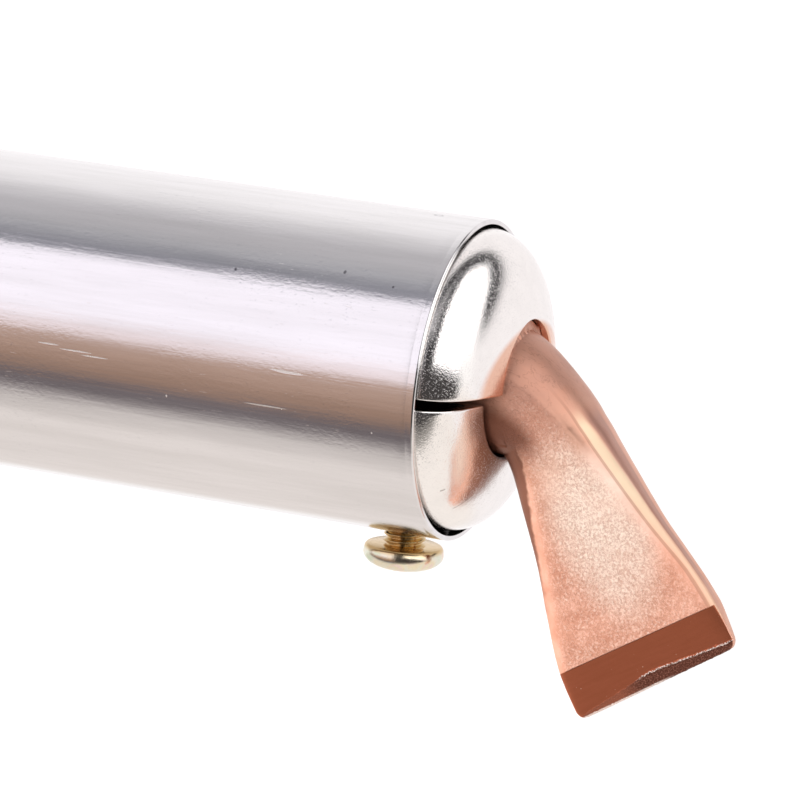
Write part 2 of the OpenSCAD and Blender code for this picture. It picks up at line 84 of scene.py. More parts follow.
# ------------------------------------------------------------------ node helper
class G:
    """Builds shader nodes with function calls. A socket or a plain value goes in anywhere."""

    def __init__(self, tree):
        self.t = tree
        tree.nodes.clear()

    def node(self, kind, **kw):
        n = self.t.nodes.new("ShaderNode" + kind)
        for k, v in kw.items():
            setattr(n, k, v)
        return n

    def put(self, sock, v):
        if isinstance(v, bpy.types.NodeSocket):
            self.t.links.new(v, sock)
        elif isinstance(v, (tuple, list)) and sock.type == "RGBA" and len(v) == 3:
            sock.default_value = (*v, 1)
        else:
            sock.default_value = v

    def math(self, op, a, b=0.0, c=None, clamp=False):
        n = self.node("Math", operation=op, use_clamp=clamp)
        self.put(n.inputs[0], a)
        self.put(n.inputs[1], b)
        if c is not None:
            self.put(n.inputs[2], c)
        return n.outputs[0]

    def add(self, a, b): return self.math("ADD", a, b)
    def mul(self, a, b): return self.math("MULTIPLY", a, b)
    def sub(self, a, b): return self.math("SUBTRACT", a, b)

    def step(self, x, a, b):
        """0 at a and below, 1 at b and above, smooth between (or the other way when a > b)."""
        n = self.node("MapRange", interpolation_type="SMOOTHSTEP", clamp=True)
        self.put(n.inputs["Value"], x)
        lo, hi = (a, b) if a < b else (b, a)
        n.inputs["From Min"].default_value = lo
        n.inputs["From Max"].default_value = hi
        n.inputs["To Min"].default_value = 0 if a < b else 1
        n.inputs["To Max"].default_value = 1 if a < b else 0
        return n.outputs["Result"]

    def span(self, x, a, b, s):
        """1 between a and b, with soft edges s wide outside."""
        return self.mul(self.step(x, a - s, a), self.step(x, b + s, b))

    def lin(self, x, a, b, c, d, clamp=True):
        n = self.node("MapRange", clamp=clamp)
        self.put(n.inputs["Value"], x)
        for k, v in zip(("From Min", "From Max", "To Min", "To Max"), (a, b, c, d)):
            n.inputs[k].default_value = v
        return n.outputs["Result"]

    def mix(self, f, a, b, blend="MIX"):
        n = self.node("Mix", data_type="RGBA", blend_type=blend, clamp_factor=True)
        self.put(n.inputs["Factor"], f)
        self.put([s for s in n.inputs if s.name == "A" and s.type == "RGBA"][0], a)
        self.put([s for s in n.inputs if s.name == "B" and s.type == "RGBA"][0], b)
        return [s for s in n.outputs if s.type == "RGBA"][0]

    def sep(self, v):
        n = self.node("SeparateXYZ")
        self.put(n.inputs[0], v)
        return n.outputs[0], n.outputs[1], n.outputs[2]

    def vec(self, x, y, z):
        n = self.node("CombineXYZ")
        for s, v in zip(n.inputs, (x, y, z)):
            self.put(s, v)
        return n.outputs[0]

    def stretch(self, v, s):
        n = self.node("VectorMath", operation="MULTIPLY")
        self.put(n.inputs[0], v)
        self.put(n.inputs[1], s)
        return n.outputs[0]

    def noise(self, v, scale=1.0, detail=2.0, rough=0.5, warp=0.0, colour=False):
        n = self.node("TexNoise")
        self.put(n.inputs["Vector"], v)
        n.inputs["Scale"].default_value = scale
        n.inputs["Detail"].default_value = detail
        n.inputs["Roughness"].default_value = rough
        n.inputs["Distortion"].default_value = warp
        return n.outputs["Color" if colour else "Fac"]

    def cells(self, v, scale=1.0, feature="F1"):
        n = self.node("TexVoronoi", feature=feature)
        self.put(n.inputs["Vector"], v)
        n.inputs["Scale"].default_value = scale
        return n.outputs["Distance"]

    def attr(self, name):
        return self.node("Attribute", attribute_name=name).outputs["Fac"]

    def ramp(self, x, stops):
        n = self.node("ValToRGB")
        self.put(n.inputs[0], x)
        e = n.color_ramp.elements
        while len(e) < len(stops):
            e.new(0.5)
        for k, (p, c) in zip(e, stops):
            k.position = p
            k.color = (*c, 1)
        return n.outputs["Color"]

    def bump(self, h, dist, strength=1.0, normal=None):
        """Height in mm."""
        n = self.node("Bump")
        self.put(n.inputs["Height"], h)
        n.inputs["Distance"].default_value = dist * 0.001
        n.inputs["Strength"].default_value = strength
        if normal is not None:
            self.put(n.inputs["Normal"], normal)
        return n.outputs["Normal"]

    def coords(self):
        """The piece's own coordinates, turned to the tool's frame, in mm."""
        tc = self.node("TexCoord").outputs["Object"]
        m = self.node("Mapping", vector_type="POINT")
        self.put(m.inputs["Vector"], tc)
        back = Matrix.Rotation(rad(90 - RHO), 4, "X")
        m.inputs["Location"].default_value = -(back @ (Vector(ORIGIN) * 1000))
        m.inputs["Rotation"].default_value = (rad(90 - RHO), 0, 0)
        m.inputs["Scale"].default_value = (1000, 1000, 1000)
        return m.outputs[0]

    def finish(self, colour, rough, normal=None, metal=0.0, **sockets):
        """Principled surface. Extra sockets are plain values."""
        p = self.node("BsdfPrincipled")
        self.put(p.inputs["Base Color"], colour)
        self.put(p.inputs["Roughness"], rough)
        self.put(p.inputs["Metallic"], metal)
        for k, v in sockets.items():
            p.inputs[k.replace("_", " ")].default_value = v
        if normal is not None:
            self.put(p.inputs["Normal"], normal)
        out = self.node("OutputMaterial")
        self.t.links.new(p.outputs[0], out.inputs[0])
        return p


def material(name):
    m = bpy.data.materials.new(name)
    m.use_nodes = True
    return m, G(m.node_tree)


# ------------------------------------------------------------------ studio
# The light comes from a plain studio all round: a white backdrop, a pale table, two soft
# boxes, and the darker side where the camera stands. a is the angle about the tool's axis,
# 0 straight up and positive towards the camera; x runs along the tool.
world = bpy.data.worlds.new("studio")
bpy.context.scene.world = world
world.use_nodes = True
g = G(world.node_tree)
wx, wy, wz = g.sep(g.node("TexCoord").outputs["Generated"])
al = g.mul(g.math("ARCTAN2", g.mul(wy, -1.0), wz), 180 / math.pi)
# left part of the studio, seen in the barrel
left = g.mix(g.step(al, -106, -64), (1.08, 1.05, 1.06), (0.56, 0.54, 0.56))
left = g.mix(g.step(al, -62, -46), left, (0.49, 0.485, 0.51))
left = g.mix(g.step(al, -50, -36), left, (0.28, 0.28, 0.32))
left = g.mix(g.span(al, -29, 27, 4), left, (1.20, 1.14, 1.23))
left = g.mix(g.step(al, 12, 26), left, (1.03, 0.89, 0.91))
left = g.mix(g.step(al, 26, 33), left, (0.53, 0.36, 0.285))
left = g.mix(g.step(al, 36, 54), left, (0.37, 0.235, 0.175))
left = g.mix(g.step(al, 54, 65), left, (0.17, 0.145, 0.155))
left = g.mix(g.step(al, 68, 86), left, (0.74, 0.68, 0.65))
left = g.mix(g.step(al, 88, 100), left, (0.90, 0.83, 0.79))
left = g.mix(g.step(al, 166, 178), left, (1.12, 1.09, 1.08))
# right part, seen in the jaws: a dark strip curves round the large soft box
wc = g.math("MAXIMUM", wx, -0.1)
bend = g.add(g.add(g.mul(wc, -150.0), -53.0), g.mul(g.mul(wc, wc), 95.0))
off = g.sub(al, bend)
right = g.mix(g.mul(g.step(off, -22, -8), g.step(wx, 0.96, 0.84)), (1.0, 0.96, 0.97), (0.035, 0.033, 0.036))
right = g.mix(g.mul(g.step(off, 8, 22), g.step(al, 0, -14)), right, (0.36, 0.35, 0.36))
right = g.mix(g.step(al, 4, 14), right, (0.06, 0.055, 0.055))
right = g.mix(g.step(al, 58, 66), right, (0.32, 0.30, 0.28))
right = g.mix(g.step(al, 72, 82), right, (0.97, 0.91, 0.87))
right = g.mix(g.step(al, 166, 178), right, (1.0, 0.96, 0.97))
col = g.mix(g.step(wx, -0.22, -0.02), left, right)
# large soft box to the right; its left side leans
edge = g.add(wx, g.mul(g.step(al, -66, -96), -0.14))
zone = g.mul(g.step(off, 4, 11), g.step(al, 15, 8))
col = g.mix(g.mul(g.span(edge, 0.19, 0.36, 0.04), zone), col, (0.05, 0.048, 0.052))
box1 = g.mul(g.step(edge, 0.31, 0.37), zone)
col = g.mix(box1, col, (1.7, 1.66, 1.68))
end = g.sub(wx, g.mul(g.step(al, -5, 10), 0.02))
col = g.mix(g.step(end, 0.965, 0.985), col, (1.1, 1.08, 1.08))
lp = g.node("LightPath").outputs["Is Camera Ray"]
bg = g.node("Background")
g.put(bg.inputs["Color"], g.mix(lp, col, (1.0, 1.0, 1.0)))
g.t.links.new(bg.outputs[0], g.node("OutputWorld").inputs[0])

# a soft lamp over the bit; the polished metal doesn't show it
lamp = bpy.data.lights.new("lamp", "AREA")
lamp.shape, lamp.size, lamp.energy = "DISK", 0.3, 4.6
lamp_ob = bpy.data.objects.new("lamp", lamp)
bpy.context.scene.collection.objects.link(lamp_ob)
lamp_dir = Vector((-0.40, -0.5, 0.80)).normalized()
lamp_ob.location = Vector((0.165, 0.0, 0.015)) + lamp_dir * 0.6
lamp_ob.rotation_euler = lamp_dir.to_track_quat("Z", "Y").to_euler()
lamp_ob.visible_glossy = False

me = bpy.data.meshes.new("floor")
me.from_pydata([(-5, -5, 0), (5, -5, 0), (5, 5, 0), (-5, 5, 0)], [], [(0, 1, 2, 3)])
floor = bpy.data.objects.new("floor", me)
bpy.context.scene.collection.objects.link(floor)
fm, g = material("floor_paper")
em = g.node("Emission")
em.inputs["Strength"].default_value = 0.95
df = g.node("BsdfDiffuse")
grain = g.noise(g.node("TexCoord").outputs["Object"], 90, 3)
g.put(df.inputs["Color"], g.mix(grain, (0.17, 0.17, 0.17), (0.20, 0.20, 0.20)))
ad = g.node("AddShader")
g.t.links.new(em.outputs[0], ad.inputs[0])
g.t.links.new(df.outputs[0], ad.inputs[1])
g.t.links.new(ad.outputs[0], g.node("OutputMaterial").inputs[0])
me.materials.append(fm)
# the reflections take the table from the studio round the object
floor.visible_glossy = floor.visible_diffuse = floor.visible_shadow = floor.visible_transmission = False


# ------------------------------------------------------------------ mesh helpers
def piece(name, v, f, body, mats, node=None, slot=None, sharp=30, fix=True, attrs=None, cut=()):
    """One object from tool-frame points (mm) and faces, riding on a body."""
    v = np.asarray(v, float) @ TOOL_NP[:3, :3].T + TOOL_NP[:3, 3]
    me = bpy.data.meshes.new(name)
    me.from_pydata(v.tolist(), [], [tuple(int(i) for i in q) for q in f])
    for k, vals in (attrs or {}).items():
        me.attributes.new(k, "FLOAT", "POINT").data.foreach_set("value", np.asarray(vals, np.float32))
    if fix:
        bm = bmesh.new()
        bm.from_mesh(me)
        bmesh.ops.recalc_face_normals(bm, faces=bm.faces)
        bm.to_mesh(me)
        bm.free()
    ob = bpy.data.objects.new(name, me)
    bpy.context.scene.collection.objects.link(ob)
    if cut:
        carve(ob, cut)
    me = ob.data
    me.shade_smooth()
    me.set_sharp_from_angle(angle=rad(sharp))
    for m in mats if isinstance(mats, (list, tuple)) else [mats]:
        me.materials.append(m)
    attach(ob, body)
    if node:
        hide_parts(*([node] if isinstance(node, str) else node))
    return ob


def carve(ob, cutters):
    """Takes closed cutters (points, faces in tool mm) out of ob."""
    tools = []
    for v, f in cutters:
        v = np.asarray(v, float) @ TOOL_NP[:3, :3].T + TOOL_NP[:3, 3]
        me = bpy.data.meshes.new("cutter")
        me.from_pydata(v.tolist(), [], [tuple(int(i) for i in q) for q in f])
        bm = bmesh.new()
        bm.from_mesh(me)
        bmesh.ops.recalc_face_normals(bm, faces=bm.faces)
        bm.to_mesh(me)
        bm.free()
        c = bpy.data.objects.new("cutter", me)
        bpy.context.scene.collection.objects.link(c)
        mod = ob.modifiers.new("cut", "BOOLEAN")
        mod.operation = "DIFFERENCE"
        mod.solver = "EXACT"
        mod.object = c
        tools.append(c)
    bpy.context.view_layer.update()
    dg = bpy.context.evaluated_depsgraph_get()
    new = bpy.data.meshes.new_from_object(ob.evaluated_get(dg))
    ob.modifiers.clear()
    old = ob.data
    ob.data = new
    bpy.data.meshes.remove(old)
    for c in tools:
        m = c.data
        bpy.data.objects.remove(c)
        bpy.data.meshes.remove(m)


def fillet(pts, seg=7):
    """Closed outline of (x, r, radius) corners to a dense (x, r) outline with round corners."""
    out, n = [], len(pts)
    for i in range(n):
        p = np.array(pts[i][:2], float)
        q = pts[i][2] if len(pts[i]) > 2 else 0
        a, b = np.array(pts[i - 1][:2], float) - p, np.array(pts[(i + 1) % n][:2], float) - p
        la, lb = np.linalg.norm(a), np.linalg.norm(b)
        if q <= 0 or la < 1e-9 or lb < 1e-9:
            out.append(tuple(p))
            continue
        a, b = a / la, b / lb
        if np.linalg.norm(a + b) < 1e-6:
            out.append(tuple(p))
            continue
        half = math.acos(max(-1, min(1, float(a @ b)))) / 2
        d = min(q / math.tan(half), 0.49 * la, 0.49 * lb)
        rr = d * math.tan(half)
        c = p + (a + b) / np.linalg.norm(a + b) * (rr / math.sin(half))
        s, e = p + a * d - c, p + b * d - c
        t0 = math.atan2(s[1], s[0])
        dt = (math.atan2(e[1], e[0]) - t0 + math.pi) % (2 * math.pi) - math.pi
        for k in range(seg + 1):
            t = t0 + dt * k / seg
            out.append((c[0] + rr * math.cos(t), c[1] + rr * math.sin(t)))
    return out


def spread(prof, step):
    """Adds points along long stretches of a closed outline."""
    out = []
    for i, p in enumerate(prof):
        q = prof[(i + 1) % len(prof)]
        n = max(1, int(math.hypot(q[0] - p[0], q[1] - p[1]) / step))
        out += [(p[0] + (q[0] - p[0]) * k / n, p[1] + (q[1] - p[1]) * k / n) for k in range(n)]
    return out


def lathe(prof, n=192, y0=0.0, z0=0.0):
    """Turned solid from a closed (x, r) outline; points at r < 0.001 close on the axis."""
    v, f, rows = [], [], []
    for x, r in prof:
        if r < 1e-3:
            rows.append([len(v)] * n)
            v.append((x, y0, z0))
        else:
            rows.append(list(range(len(v), len(v) + n)))
            v += [(x, y0 + r * math.cos(2 * math.pi * k / n), z0 + r * math.sin(2 * math.pi * k / n)) for k in range(n)]
    m = len(rows)
    for i in range(m):
        a, b = rows[i], rows[(i + 1) % m]
        if a[0] == a[1] and b[0] == b[1]:
            continue
        for k in range(n):
            j = (k + 1) % n
            q = [a[k], a[j], b[j], b[k]]
            q = [p for i2, p in enumerate(q) if p != q[i2 - 1]]
            if len(q) > 2:
                f.append(q)
    return v, f


def block(x0, x1, y0, y1, z0, z1, r=0.3):
    """Box with rounded edges, lofted along x."""
    rings, s = [], 4
    for x, d in [(x0, r), (x0 + 0.3 * r, 0.3 * r), (x0 + r, 0)] + [(x1 - r, 0), (x1 - 0.3 * r, 0.3 * r), (x1, r)]:
        ring = []
        for cy, cz, a0 in ((y1, z1, 0), (y0, z1, 90), (y0, z0, 180), (y1, z0, 270)):
            ccy = cy - math.copysign(r + 0, cy - (y0 + y1) / 2)
            ccz = cz - math.copysign(r + 0, cz - (z0 + z1) / 2)
            for k in range(s + 1):
                t = rad(a0 + 90 * k / s)
                ring.append((x, ccy + (r - d) * math.cos(t), ccz + (r - d) * math.sin(t)))
        rings.append(ring)
    return tubeof(rings)


def tubeof(rings):
    """Closed solid from rings of equal length."""
    v = [p for q in rings for p in q]
    m = len(rings[0])
    f = []
    for j in range(len(rings) - 1):
        for i in range(m):
            k = (i + 1) % m
            f.append([j * m + i, j * m + k, (j + 1) * m + k, (j + 1) * m + i])
    f.append(list(range(m))[::-1])
    f.append([(len(rings) - 1) * m + i for i in range(m)])
    return v, f


def rod(p, d, r, l0, l1, n=48):
    """Cylinder cutter from p along d."""
    p, d = Vector(p), Vector(d).normalized()
    u = d.orthogonal().normalized()
    w = d.cross(u)
    return tubeof([[tuple(p + d * l + (u * math.cos(2 * math.pi * k / n) + w * math.sin(2 * math.pi * k / n)) * r)
                    for k in range(n)] for l in (l0, l1)])


def join(*solids):
    v, f = [], []
    for a, b in solids:
        f += [[i + len(v) for i in q] for q in b]
        v += list(a)
    return v, f


def out(a):
    """Direction across the tool at angle a."""
    return (0, math.cos(rad(a)), math.sin(rad(a)))


# ------------------------------------------------------------------ materials
# two small scratches on the lower jaw's front: y and z of their ends
NICKS = ((-9.62, -13.28, -7.96, -12.07), (-12.9, -10.7, -12.6, -10.55))


def drawn_steel():
    """Bright drawn tube: axial streaks, stipple, a slightly wavy wall, a few scratches and dots."""
    m, g = material("drawn_steel")
    c = g.coords()
    x, y, z = g.sep(c)
    th = g.mul(g.math("ARCTAN2", z, g.mul(y, -1.0)), 180 / math.pi)

    def dab(x0, t0, lx, lt):
        """A small mark at x0 mm and t0 degrees above the side that faces the camera."""
        p, q = g.mul(g.sub(x, x0), 1 / lx), g.mul(g.sub(th, t0), 1 / lt)
        return g.step(g.add(g.mul(p, p), g.mul(q, q)), 1.0, 0.3)

    def most(*marks):
        a = marks[0]
        for b in marks[1:]:
            a = g.math("MAXIMUM", a, b)
        return a

    streak = g.noise(g.stretch(c, (0.035, 3.2, 3.2)), 1, 5, 0.62)
    wide = g.noise(g.stretch(c, (0.03, 0.35, 0.35)), 1, 4, 0.6)
    wave = g.noise(g.stretch(c, (0.05, 0.20, 0.20)), 1, 3, 0.6)
    local = g.lin(g.noise(c, 0.07, 2), 0.40, 0.60, 0.35, 1.0)
    fine = g.noise(g.stretch(c, (1.7, 2.6, 2.6)), 1, 3, 0.62)
    stip = g.mul(g.step(g.noise(g.stretch(c, (2.2, 3.6, 3.6)), 1, 2), 0.62, 0.76), local)
    scr = g.step(g.noise(g.stretch(c, (0.9, 0.10, 8.0)), 1, 2, 0.5, 0.6), 0.70, 0.76)
    scr = g.mul(scr, g.step(g.noise(c, 0.09, 1), 0.50, 0.60))
    light = most(dab(-15.5, 4.5, 2.0, 0.55), dab(-16.6, 4.75, 1.6, 0.35), dab(-18.2, -8.6, 3.2, 0.28), dab(-30.7, -10.8, 0.13, 0.5),
                 dab(-42.5, 0.3, 2.4, 0.30), dab(-40.0, -0.8, 2.0, 0.25), dab(-46.0, 1.4, 1.6, 0.28), dab(-5.0, -12.3, 0.12, 0.4))
    dark = most(dab(-11.7, 43.3, 0.22, 0.95), dab(-24.8, 38.0, 0.20, 0.75), dab(-5.4, 40.2, 0.16, 0.6),
                g.sub(dab(-5.6, 86.5, 0.75, 1.3), dab(-5.6, 86.5, 0.5, 0.8)))
    n = g.bump(wave, 0.045)
    n = g.bump(streak, 0.006, 1.0, n)
    n = g.bump(g.mul(fine, local), 0.017, 1.0, n)
    n = g.bump(g.add(g.add(stip, g.mul(scr, -1.6)), g.mul(light, -2.0)), 0.004, 0.8, n)
    col = g.mix(g.lin(wide, 0.35, 0.65, 0, 1), (0.755, 0.745, 0.745), (0.83, 0.82, 0.825))
    col = g.mix(g.mul(stip, 0.30), col, (0.50, 0.50, 0.53))
    col = g.mix(g.mul(scr, 0.6), col, (0.93, 0.90, 0.86))
    col = g.mix(g.mul(light, 0.45), col, (0.88, 0.84, 0.78))
    col = g.mix(g.mul(dark, 0.75), col, (0.16, 0.15, 0.17))
    rough = g.add(g.lin(streak, 0.3, 0.7, 0.10, 0.20), g.add(g.mul(stip, 0.08), g.mul(light, 0.3)))
    g.finish(col, rough, n, g.sub(1.0, g.mul(light, 0.12)))
    return m


def nickel(name, speck=1.0, base=(0.94, 0.915, 0.89)):
    """Nickel plating on pressed sheet, with a speckled grain and two small scratches."""
    m, g = material(name)
    c = g.coords()
    x, y, z = g.sep(c)
    sp = g.step(g.noise(c, 6.0, 3, 0.6), 0.56, 0.72)
    pit = g.step(g.cells(c, 2.6), 0.14, 0.05)
    cloud = g.noise(c, 0.35, 4, 0.55)
    n = g.bump(g.noise(c, 5.0, 2, 0.6), 0.0150 * speck)
    n = g.bump(g.noise(c, 9.0, 3, 0.65), 0.0035 * speck, 1.0, n)
    n = g.bump(g.add(sp, g.mul(pit, -1.2)), 0.010 * speck, 0.8, n)

    def nick(y0, z0, y1, z1, w):
        """A scratch between two points of the front, in y and z."""
        ly, lz = y1 - y0, z1 - z0
        q = math.hypot(ly, lz)
        dy, dz = g.sub(y, y0), g.sub(z, z0)
        t = g.add(g.mul(dy, ly / q), g.mul(dz, lz / q))
        d = g.math("ABSOLUTE", g.add(g.mul(dy, -lz / q), g.mul(dz, ly / q)))
        return g.mul(g.span(t, 0, q, 0.1), g.step(g.add(d, g.mul(g.noise(c, 3, 2), 0.12)), w + 0.12, w))

    nicks = g.math("MAXIMUM", nick(*NICKS[0], 0.05), nick(*NICKS[1], 0.09))
    nicks = g.mul(nicks, g.step(x, 0.0, 0.6))
    col = g.mix(g.lin(cloud, 0.35, 0.65, 0, 1), tuple(0.955 * k for k in base), base)
    col = g.mix(g.mul(sp, 0.20), col, (0.62, 0.60, 0.58))
    col = g.mix(g.mul(nicks, 0.7), col, (0.30, 0.27, 0.24))
    # copper colour round the hole for the bit, on the upper side
    rr = g.math("SQRT", g.add(g.mul(y, y), g.mul(z, z)))
    tint = g.mul(g.step(z, -0.5, 0.3), g.step(g.add(rr, g.mul(g.mul(z, z), 0.075)), 13.4, 11.8))
    col = g.mix(g.mul(tint, 0.9), col, (0.82, 0.48, 0.34))
    g.finish(col, g.add(g.lin(cloud, 0.3, 0.7, 0.05, 0.09), g.mul(sp, 0.07)), n, 1.0)
    return m


def copper():
    """Forged copper: grainy cast face with a painted highlight in its middle, smooth brown flanks, ground bevel with a
    worn edge.
    """
    m, g = material("forged_copper")
    c = g.coords()
    l, u, fr, bev, side = g.attr("along"), g.attr("across"), g.attr("front"), g.attr("bevel"), g.attr("side")
    along = g.vec(l, u, fr)
    plain = g.math("SUBTRACT", 1.0, bev)
    # where the face is grainy: front and back, not the flanks, and not close to the neck
    face = g.step(g.math("ABSOLUTE", fr), 0.86, 0.985)
    grainy = g.mul(face, g.step(g.sub(l, g.mul(u, 0.5)), 2.0, 6.5))
    patch = g.noise(c, 0.16, 3, 0.55)
    grainy = g.mul(g.mul(grainy, g.lin(patch, 0.25, 0.5, 0.55, 1.0)), plain)
    n1 = g.noise(g.stretch(along, (1.7, 3.4, 1.0)), 1, 3, 0.6, 0.8)
    n2 = g.noise(c, 3.7, 4, 0.66, 0.8)
    n3 = g.noise(c, 5.5, 2, 0.5)
    h = g.add(g.mul(n1, 0.5), g.mul(n2, 1.0))
    pit = g.step(g.add(n2, g.mul(n1, 0.4)), 0.78, 0.58)
    crest_glint = g.step(g.add(n2, g.mul(n1, 0.4)), 0.72, 0.86)
    nb = g.bump(g.mul(h, g.lin(grainy, 0, 1, 0.05, 1.0)), 0.33, 1.0)
    nb = g.bump(g.mul(n3, grainy), 0.04, 1.0, nb)
    nb = g.bump(g.noise(c, 0.9, 4, 0.6), 0.02, 1.0, nb)
    mot = g.noise(c, 0.30, 5, 0.6, 0.4)
    col = g.mix(g.lin(mot, 0.32, 0.68, 0, 1), (0.66, 0.32, 0.21), (0.78, 0.44, 0.31))
    # the face, with a painted highlight that makes its middle lighter
    pl, pu = g.mul(g.sub(l, 21.5), 1 / 14.0), g.mul(g.add(u, 1.5), 1 / 7.0)
    centre_highlight = g.mul(g.step(g.add(g.mul(pl, pl), g.mul(pu, pu)), 1.0, 0.0), g.lin(mot, 0.3, 0.6, 0.7, 1.0))
    fcol = g.mix(g.lin(mot, 0.35, 0.65, 0, 1), (0.70, 0.33, 0.22), (0.85, 0.46, 0.335))
    fcol = g.mix(g.mul(centre_highlight, 0.95), fcol, (1.0, 0.84, 0.71))
    facing = g.mul(g.mul(g.step(fr, 0.25, 0.6), g.step(l, 9, 15)), plain)
    facing = g.math("MAXIMUM", grainy, facing)
    col = g.mix(facing, col, fcol)
    col = g.mix(g.mul(g.mul(pit, grainy), 0.52), col, (0.50, 0.20, 0.12))
    # lighter crests of the grain: a painted highlight
    col = g.mix(g.mul(g.mul(crest_glint, grainy), 0.38), col, (1.0, 0.84, 0.72))
    # neck: darker, with fine cracks
    neck = g.mul(g.step(l, 13, 5), g.lin(mot, 0.3, 0.7, 0.55, 1.0))
    col = g.mix(g.mul(neck, 0.80), col, (0.45, 0.225, 0.165))
    vein = g.math("ABSOLUTE", g.sub(g.noise(g.stretch(c, (0.30, 0.7, 0.45)), 1, 4, 0.6, 0.6), 0.5))
    crack = g.mul(g.step(vein, 0.012, 0.004), g.step(l, 10, 4))
    col = g.mix(g.mul(crack, 0.45), col, (0.26, 0.11, 0.07))
    # brown oxide on the inside of the bend, partly a painted reflection of a dark brown part of the studio
    inner = g.sub(g.add(side, g.mul(g.noise(c, 0.5, 3), 0.2)), g.lin(l, 8, 22, 0.55, 1.02))
    inner = g.mul(g.step(inner, -0.03, 0.05), g.step(l, 32, 20))
    inner = g.math("MAXIMUM", inner, g.mul(g.step(side, -0.1, 0.35), g.step(l, 13, 8)))
    col = g.mix(g.mul(inner, 0.92), col, (0.18, 0.062, 0.035))
    # right border: a smooth pale strip beside the face, its paleness partly a painted highlight, then the purplish
    # flank
    border = g.lin(l, 12, 30, -0.79, -0.945)
    rside = g.mul(g.mul(g.step(g.sub(side, border), 0.03, -0.03), g.span(l, 10, 36, 2)), plain)
    strip = g.mul(rside, g.step(fr, 0.48, 0.60))
    flank = g.mul(g.mul(rside, g.span(fr, 0.0, 0.45, 0.12)), g.step(l, 40, 26))
    col = g.mix(g.mul(flank, 0.75), col, (0.42, 0.215, 0.17))
    col = g.mix(g.mul(strip, 0.85), col, g.mix(g.step(l, 18, 28), (0.80, 0.62, 0.42), (0.82, 0.54, 0.37)))
    # thin dark seam where the face meets the strip
    seam = g.mul(g.span(g.sub(side, border), 0.0, 0.03, 0.012), g.mul(g.step(fr, 0.4, 0.7), g.span(l, 9, 34, 4)))
    col = g.mix(g.mul(g.mul(seam, plain), 0.5), col, (0.36, 0.17, 0.11))
    # ground bevel
    brown = g.mix(g.lin(g.noise(g.stretch(along, (2.5, 0.25, 1.0)), 1, 3), 0.3, 0.7, 0, 1), (0.39, 0.112, 0.053), (0.42, 0.122, 0.060))
    col = g.mix(bev, col, brown)
    spot = g.mul(g.step(g.noise(c, 2.3, 2), 0.735, 0.79), bev)
    col = g.mix(g.mul(spot, 0.75), col, (0.95, 0.66, 0.52))
    # worn facet under it, with a bright burr along its top and a painted highlight along the working edge
    e = g.sub(BL, l)
    d = g.math("MINIMUM", g.lin(u, -10, 0, 0.95, 1.75), g.lin(u, 0, 10.4, 1.75, 0.35))
    d = g.add(d, g.mul(g.sub(g.noise(along, 1.4, 3, 0.6), 0.5), 0.5))
    worn_edge = g.mul(g.step(g.sub(e, d), 0.10, -0.04), bev)
    rag = g.noise(g.stretch(along, (6.0, 4.6, 1.0)), 1, 4, 0.65)
    ragged = g.mix(g.step(rag, 0.46, 0.64), (0.12, 0.036, 0.02), (0.34, 0.14, 0.095))
    ragged = g.mix(g.step(u, 1.5, 5.0), ragged, (0.34, 0.11, 0.06))
    col = g.mix(worn_edge, col, ragged)
    line = g.mul(g.span(g.sub(e, d), -0.06, 0.07, 0.07), g.mul(g.step(u, 2.6, 0.6), g.step(rag, 0.44, 0.56)))
    # low: a painted highlight along the working edge
    low = g.mul(g.step(g.add(e, g.mul(g.sub(rag, 0.5), 0.3)), 0.30, 0.16), g.step(u, -3.0, 0.0))
    burr_and_edge_highlight = g.mul(g.math("MAXIMUM", line, g.mul(low, 0.8)), bev)
    col = g.mix(burr_and_edge_highlight, col, (1.0, 0.86, 0.78))
    nb = g.bump(g.mul(rag, worn_edge), 0.25, 1.0, nb)
    rough = g.add(g.lin(facing, 0, 1, 0.26, 0.44), g.mul(mot, 0.06))
    rough = g.add(rough, g.mul(neck, 0.16))
    rough = g.mix(bev, rough, (0.30, 0.30, 0.30))
    metal = g.sub(g.lin(facing, 0, 1, 0.70, 0.25), g.mul(burr_and_edge_highlight, 0.25))
    g.finish(col, rough, nb, metal)
    return m


def yellow_zinc(name="yellow_zinc"):
    """Yellow passivated zinc with a green and pink play of colour."""
    m, g = material(name)
    c = g.coords()
    x, y, z = g.sep(c)
    a = g.noise(c, 0.36, 2, 0.5, 0.8)
    col = g.ramp(a, [(0.30, (0.66, 0.76, 0.58)), (0.42, (0.80, 0.78, 0.66)), (0.52, (0.84, 0.76, 0.56)),
                     (0.60, (0.84, 0.68, 0.62)), (0.70, (0.70, 0.80, 0.66))])
    # browner under the head and in the thread
    col = g.mix(g.step(z, -21.6, -20.9), col, (0.66, 0.48, 0.24))
    n = g.bump(g.noise(c, 6.0, 3, 0.6), 0.006)
    n = g.bump(g.noise(c, 1.6, 3, 0.6), 0.020, 1.0, n)
    g.finish(col, g.lin(g.noise(c, 2.0, 3), 0.3, 0.7, 0.12, 0.26), n, 1.0)
    return m


def plain_metal(name, lo, hi, r0, r1, fine=5.0, depth=0.01, lines=None, scale=0.0):
    """Metal with clouded colour, fine grain and, if asked, lines along or round the tool."""
    m, g = material(name)
    c = g.coords()
    cloud = g.noise(c, 0.5, 5, 0.6)
    gr = g.noise(c, fine, 3, 0.6)
    n = g.bump(gr, depth)
    if lines:
        n = g.bump(g.noise(g.stretch(c, lines), 1, 3, 0.6), depth, 0.8, n)
    col = g.mix(g.lin(cloud, 0.3, 0.7, 0, 1), lo, hi)
    if scale:
        s = g.step(g.noise(c, 0.8, 5, 0.7), 0.50, 0.64)
        col = g.mix(g.mul(s, scale), col, (0.10, 0.075, 0.06))
    g.finish(col, g.lin(gr, 0.3, 0.7, r0, r1), n, 1.0)
    return m


